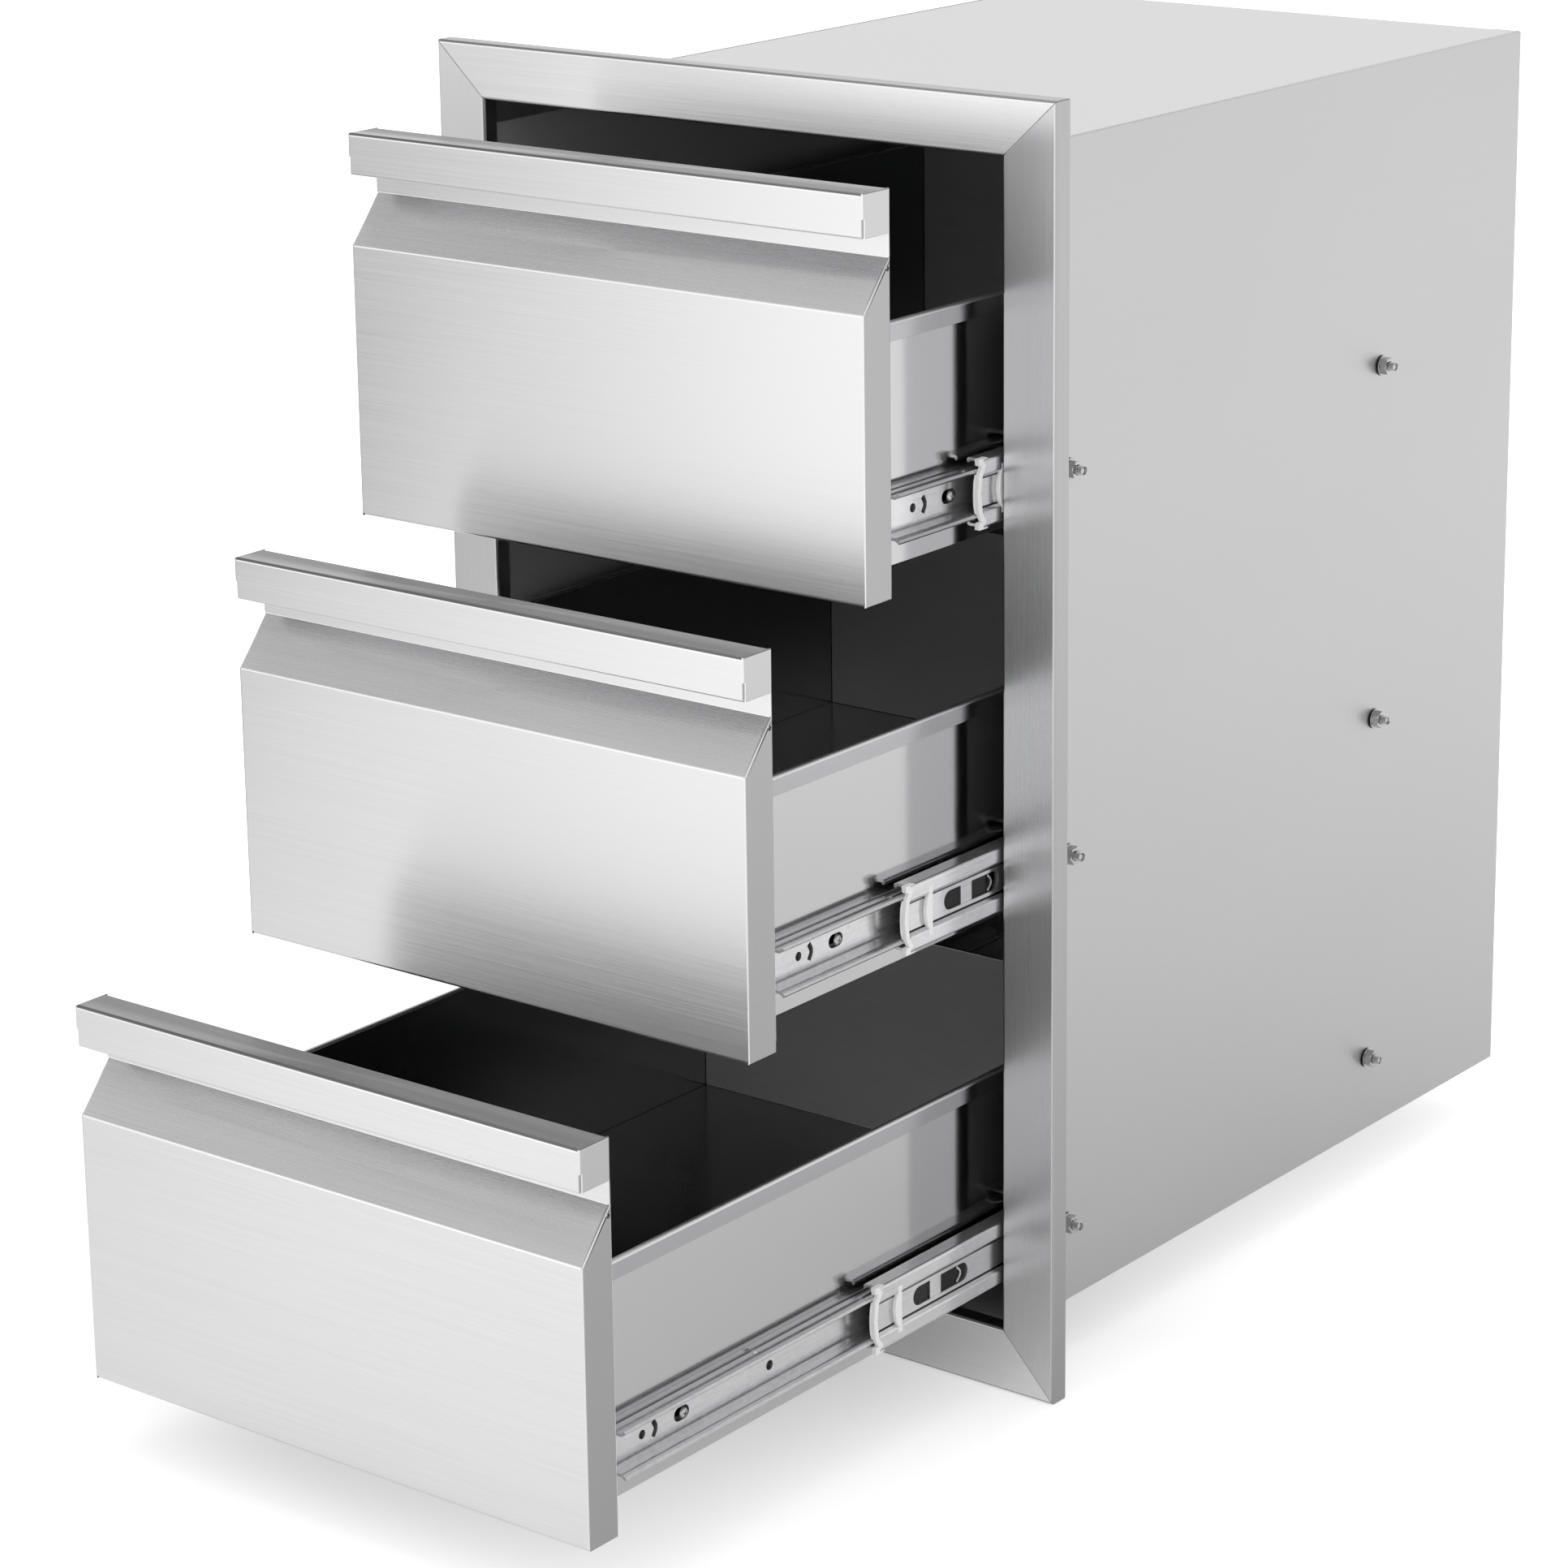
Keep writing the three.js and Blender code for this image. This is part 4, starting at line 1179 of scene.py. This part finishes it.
def bolt_piece():
    """One bolt with its washer and nut, its tip up along Z; z = 0 is the inner face of the cabinet wall."""
    hexagon = ring((0, 0), NUT_ACROSS * MM / 2 / math.cos(math.pi / 6), 6)
    prism = Shell().plate(hexagon, along_z, NUT_LOW * MM, NUT_HIGH * MM)
    nut = carve(mesh_object("nut", Shell().turned(in_mm(NUT), NUT_STEPS)), prism, "INTERSECT")
    shell = Shell().turned(in_mm(BOLT_HEAD), ROUND_STEPS).turned(in_mm(WASHER), WASHER_STEPS)
    shell.bm.from_mesh(nut.data)
    discard(nut)
    add_thread(shell)
    shell.turned(in_mm(BOLT_CORE), ROUND_STEPS)
    return mesh_object("bolt_pattern", shell)


def screw_piece():
    """A pan head screw with a cross recess, its head up along Z from z = 0."""
    arm = in_mm([(RECESS_HALF, RECESS_HALF), (RECESS_REACH, RECESS_HALF), (RECESS_REACH, -RECESS_HALF)])
    cross = []
    for _ in range(4):
        cross += arm
        arm = [(v, -u) for u, v in arm]
    recess = Shell().plate(cross, along_z, RECESS_LOW * MM, RECESS_HIGH * MM)
    return carve(mesh_object("screw_pattern", Shell().turned(in_mm(SCREW_HEAD), ROUND_STEPS)), recess)


def seat_fastenings(name, points, sides, group, pattern, seed, body, nodes=()):
    """Sets the pattern on its points, each turned by a seeded angle, and finishes them as one piece."""
    finish = finish_named("bolt_zinc")
    values = {"Piece": pattern, "Turn": math.tau, "Seed": seed, "Finish": finish}
    made = spread(name, points, group, values, sides)
    near, far = (depth * MM for depth in WASHER_RIM_SHADE)

    def pick(centre, normal):
        """Painted shade: black on the rims of the washers outside the cabinet walls."""
        rim = WALL_X + near < abs(centre.x) < WALL_X + far and abs(normal.x) < WASHER_FACE_ON
        return "black_steel" if rim else "bolt_zinc"

    finish_piece(made, ("bolt_zinc", "black_steel"), body, nodes, pick)


class UNIT_OT_fastenings(bpy.types.Operator):
    """Sets the bolts through the cabinet walls and the screws that hold the inner slide members"""
    bl_idname = "drawer_unit.fastenings"
    bl_label = "Bolts and screws"

    def execute(self, context):
        bolt, screw, group = bolt_piece(), screw_piece(), set_out_tree()
        centre_lines = {(name, side): z for name, side, _, z in slides()}
        nodes, points, sides = [], [], []
        for name in DRAWERS:
            for side, sign in SIDES:
                for place in ("front", "rear"):
                    nodes.append(f"slide_bolt_{name}_{side}_{place}")
                    lo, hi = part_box(nodes[-1])
                    points.append((sign * WALL_X, (lo.y + hi.y) / 2, (lo.z + hi.z) / 2))
                    sides.append(float(sign))
        seat_fastenings("slide_bolts", points, sides, group, bolt, BOLT_SEED, "cabinet", nodes)
        for name in DRAWERS:
            front = low(f"drawer_{name}_front_panel").y
            points, sides = [], []
            for side, sign in SIDES:
                for place in SCREW_SLOTS:
                    points.append((sign * (BOX_HALF + SCREW_STAND * MM), front + (place + SCREW_IN_SLOT) * MM,
                                   centre_lines[name, side]))
                    sides.append(float(sign))
            seat_fastenings(f"drawer_{name}_slide_screws", points, sides, group, screw, SCREW_SEED,
                            f"drawer_{name}")
        discard(bolt)
        discard(screw)
        return {"FINISHED"}


# Rows of balls in millimetres: their depth off the cabinet wall, and the first ball from a member's front end
BALL_DEPTH, MIDDLE_FIRST, OUTER_FIRST = 7, 16, 14
# How far inside the inner member's edge its balls run
TRACK_RISE = 0.6


class UNIT_OT_ball_races(bpy.types.Operator):
    """Fills the tracks of each slide with their rows of balls"""
    bl_idname = "drawer_unit.ball_races"
    bl_label = "Ball races"

    def execute(self, context):
        slide, group = context.scene.unit_slide, ball_row_tree()
        outer_rows = []
        for name, side, sign, z in slides():
            members = [f"slide_{name}_{side}_{part}" for part in ("inner", "middle", "outer")]
            inner, middle, outer = (half_height(node) for node in members)
            x = sign * (WALL_X - BALL_DEPTH * MM)
            rise_in = (inner - TRACK_RISE * MM + middle - slide.sheet) / 2
            rise_out = (middle + outer - slide.sheet) / 2
            y_in, y_out = low(members[1]).y + MIDDLE_FIRST * MM, low(members[2]).y + OUTER_FIRST * MM
            outer_rows += [(x, y_out, z + up * rise_out) for up in (1, -1)]
            self.rows(f"slide_{name}_{side}_balls", [(x, y_in, z + up * rise_in) for up in (1, -1)],
                      slide.inner_ball, slide, group, f"slide_carriage_{name}_{side}")
        self.rows("slide_outer_balls", outer_rows, slide.outer_ball, slide, group, "cabinet")
        return {"FINISHED"}

    @staticmethod
    def rows(name, points, radius, slide, group, body):
        made = spread(name, points, group, {"Radius": radius, "Step": slide.ball_step, "Count": slide.balls,
                                            "Finish": finish_named("zinc")})
        finish_piece(made, ("zinc",), body)


# Stage
CAMERA_RAYS, MIRROR_RAYS = ("Is Camera Ray",), ("Is Glossy Ray", "Is Transmission Ray")
WHITE_LIGHT = (1.0, 1.0, 1.0, 1.0)
FLOOR_REACH, FLOOR_DEEP, FLOOR_GAP = 14.0, 0.02, 0.2 * MM
SPECKS, SPECK_SHADE = (40.0, 40.0, 40.0), (0.99, 0.02)
# The way across the floor, towards the photograph's right
ASIDE = (0.787, -0.617, 0.0)
# Where the floor's dull band ends, and where its glow grows: across the floor, and out from its middle
DULL_ACROSS, DULL_REACH = (-0.36, -0.06), (3.3, 3.6)
GLOW_ACROSS, GLOW_REACH = (-0.12, 0.24), (0.3, 1.8)
GLOW_SHARES, MIDDLE_SHARE, CAMERA_GLOW = (0.1, 0.5), 0.35, 0.3
# Where the mirrored room turns from its walls to its ceiling, and the ceiling from its left to the rest
CEILING_UP, CEILING_ASIDE = (0.36, 0.5), (-0.70, -0.58)
WALLS_END, SKY_START, SKY_END = 0.34, 0.58, 0.72
SKY_START_SHARE, ROOM_GAIN = 1.05, 1.1
LAMP_PLACE, LAMP_AIM, LAMP_SIDE = (-0.2, 0.2, 3.0), (0, 0, 0.25), 1.8
# The photograph's view: angles in degrees, place in millimetres, and its frame in pixels
VIEW_ANGLES = (-38.1, 15.189, -0.739)
VIEW_SPOT = (1163.233, -1463.361, 810.928)
PHOTO_SIDE, FOCAL_PIXELS, CENTRE_ROW = 1932.0, 5640.0, 773.0
SENSOR_MM, NEAREST, FURTHEST = 36.0, 0.05, 60.0


def smooth_step(tree, value, span, low_value, high_value):
    """Turns a value's way over a span into a smooth step between two values."""
    return tree.node("ShaderNodeMapRange", {"Value": value, "From Min": span[0], "From Max": span[1],
                                            "To Min": low_value, "To Max": high_value},
                     interpolation_type="SMOOTHSTEP")


def seen_rays(tree, names):
    """1 for a ray of one of the named kinds."""
    rays = tree.node("ShaderNodeLightPath")
    total = rays.other(names[0])
    for name in names[1:]:
        total = total.maths("MAXIMUM", total, rays.other(name))
    return total


class UNIT_OT_stage(bpy.types.Operator):
    """Lays the pale floor and lights the room softly, and sets the camera at the photograph's view"""
    bl_idname = "drawer_unit.stage"
    bl_label = "Stage"

    def execute(self, context):
        look = context.scene.unit_stage
        self.floor(look)
        self.room(context, look)
        self.lamp(context, look)
        self.camera(context)
        context.scene.view_settings.view_transform = "Standard"
        return {"FINISHED"}

    @staticmethod
    def floor(look):
        """A pale floor, white to the camera, with a dull band where the drawer fronts mirror it."""
        z = FRAME_BOTTOM - FLOOR_GAP
        corners = [(-FLOOR_REACH, -FLOOR_REACH), (FLOOR_REACH, -FLOOR_REACH), (FLOOR_REACH, FLOOR_REACH),
                   (-FLOOR_REACH, FLOOR_REACH)]
        obj = mesh_object("floor", Shell().plate(corners, along_z, z - FLOOR_DEEP, z))
        material, tree, place = new_material("pale_floor")
        shade = SPECK_SHADE[0] + stretched_noise(tree, place, SPECKS) * SPECK_SHADE[1]
        diffuse = tree.node("ShaderNodeBsdfDiffuse", {"Color": scaled(tree, tuple(look.floor), shade)})
        reach = tree.node("ShaderNodeVectorMath", {0: place}, out=1, operation="LENGTH")
        across = tree.node("ShaderNodeVectorMath", {0: place, 1: ASIDE}, out=1, operation="DOT_PRODUCT")
        across = across.maths("MAXIMUM", across, tree.node("ShaderNodeSeparateXYZ", {0: place}, out=1))
        dull_side = smooth_step(tree, across, DULL_ACROSS, look.band, 0.0)
        dull_side = dull_side * smooth_step(tree, reach, DULL_REACH, 1.0, 0.0)
        bright_side = smooth_step(tree, across, GLOW_ACROSS, *GLOW_SHARES)
        bright_side = bright_side * smooth_step(tree, reach, GLOW_REACH, MIDDLE_SHARE, 1.0)
        strength = bright_side + seen_rays(tree, CAMERA_RAYS) * CAMERA_GLOW
        glow = tree.node("ShaderNodeEmission", {"Color": WHITE_LIGHT, "Strength": strength})
        bright = tree.node("ShaderNodeAddShader", {0: diffuse, 1: glow})
        dull = tree.node("ShaderNodeEmission", {"Strength": 0.0})
        mirrored_dull = dull_side * seen_rays(tree, MIRROR_RAYS)
        banded = tree.node("ShaderNodeMixShader", {0: mirrored_dull, 1: bright, 2: dull})
        seen = seen_rays(tree, CAMERA_RAYS + MIRROR_RAYS)
        tree.node("ShaderNodeOutputMaterial",
                  {0: tree.node("ShaderNodeMixShader", {0: seen, 1: diffuse, 2: banded})})
        obj.data.materials.append(material)

    @staticmethod
    def room(context, look):
        """A plain soft room for matt faces, and one with a duller ceiling for what the metal mirrors."""
        world = bpy.data.worlds.new("soft_room")
        world.use_nodes = True
        world.node_tree.nodes.clear()
        context.scene.world = world
        tree = Tree(world.node_tree)
        aside = tree.node("ShaderNodeSeparateXYZ", {0: tree.node("ShaderNodeTexCoord", out="Generated")})
        up = aside.other("Z")
        tones = ((0.0, 1.0), (WALLS_END, 1.0), (SKY_START, look.sky * SKY_START_SHARE), (SKY_END, look.sky),
                 (1.0, look.sky))
        stops = [(place, (tone, tone, tone, 1.0)) for place, tone in tones]
        room = tree.node("ShaderNodeValToRGB", {0: up}, stops=stops)
        high_up = smooth_step(tree, up, CEILING_UP, 0.0, 1.0)
        left = smooth_step(tree, aside, CEILING_ASIDE, look.left, ROOM_GAIN)
        fade = ROOM_GAIN - high_up * (ROOM_GAIN - left)
        plain = (look.level, look.level, look.level, 1.0)
        room = scaled(tree, room, fade)
        lit = tree.node("ShaderNodeMix", {0: seen_rays(tree, MIRROR_RAYS), 6: plain, 7: room}, out=2,
                        data_type="RGBA")
        colour = tree.node("ShaderNodeMix", {0: seen_rays(tree, CAMERA_RAYS), 6: lit, 7: WHITE_LIGHT},
                           out=2, data_type="RGBA")
        back = tree.node("ShaderNodeBackground", {"Color": colour, "Strength": 1.0})
        tree.node("ShaderNodeOutputWorld", {0: back})

    @staticmethod
    def lamp(context, look):
        data = bpy.data.lights.new("overhead", "AREA")
        data.shape = "SQUARE"
        data.size = LAMP_SIDE
        data.energy = look.lamp
        lamp = bpy.data.objects.new("overhead", data)
        context.scene.collection.objects.link(lamp)
        turn = (Vector(LAMP_AIM) - Vector(LAMP_PLACE)).to_track_quat("-Z", "Y").to_matrix().to_4x4()
        lamp.matrix_world = Matrix.Translation(LAMP_PLACE) @ turn

    @staticmethod
    def camera(context):
        yaw, pitch, roll = (math.radians(angle) for angle in VIEW_ANGLES)
        forward = Vector((math.sin(yaw) * math.cos(pitch), math.cos(yaw) * math.cos(pitch), -math.sin(pitch)))
        right = Vector((math.cos(yaw), -math.sin(yaw), 0))
        up = right.cross(forward)
        level = right * math.cos(roll) + up * math.sin(roll)
        tall = up * math.cos(roll) - right * math.sin(roll)
        data = bpy.data.cameras.new("photograph_view")
        data.sensor_width = SENSOR_MM
        data.lens = FOCAL_PIXELS / PHOTO_SIDE * SENSOR_MM
        data.shift_y = (CENTRE_ROW - PHOTO_SIDE / 2) / PHOTO_SIDE
        data.clip_start, data.clip_end = NEAREST, FURTHEST
        view = bpy.data.objects.new("photograph_view", data)
        context.scene.collection.objects.link(view)
        turn = Matrix((level, tall, -forward)).transposed().to_4x4()
        view.matrix_world = Matrix.Translation(Vector(VIEW_SPOT) * MM) @ turn
        context.scene.camera = view


OPERATORS = (
    UNIT_OT_face_frame, UNIT_OT_cabinet, UNIT_OT_drawer_fronts, UNIT_OT_drawer_boxes, UNIT_OT_slides,
    UNIT_OT_end_stops, UNIT_OT_fastenings, UNIT_OT_ball_races, UNIT_OT_stage,
)


class UNIT_PT_panel(bpy.types.Panel):
    """Lists the unit's sizes, finishes and pieces"""
    bl_idname = "UNIT_PT_panel"
    bl_label = "Drawer unit"
    bl_space_type = "VIEW_3D"
    bl_region_type = "UI"
    bl_category = "Drawer unit"

    def draw(self, context):
        for group in GROUPS:
            box = self.layout.box()
            values = getattr(context.scene, group)
            for key in values.__annotations__:
                box.prop(values, key)
        for operator in OPERATORS:
            self.layout.operator(operator.bl_idname)


GROUPS = {
    "unit_sheet": SheetSizes, "unit_front": FrontSizes, "unit_slide": SlideSizes, "unit_steel": SteelLook,
    "unit_stage": StageLook,
}
CLASSES = (*GROUPS.values(), *OPERATORS, UNIT_PT_panel)


def register():
    for item in CLASSES:
        bpy.utils.register_class(item)
    for name, group in GROUPS.items():
        setattr(bpy.types.Scene, name, bpy.props.PointerProperty(type=group))


def unregister():
    for name in GROUPS:
        delattr(bpy.types.Scene, name)
    for item in reversed(CLASSES):
        bpy.utils.unregister_class(item)


def main():
    register()
    for operator in OPERATORS:
        family, name = operator.bl_idname.split(".")
        getattr(getattr(bpy.ops, family), name)()


if __name__ == "__main__":
    main()
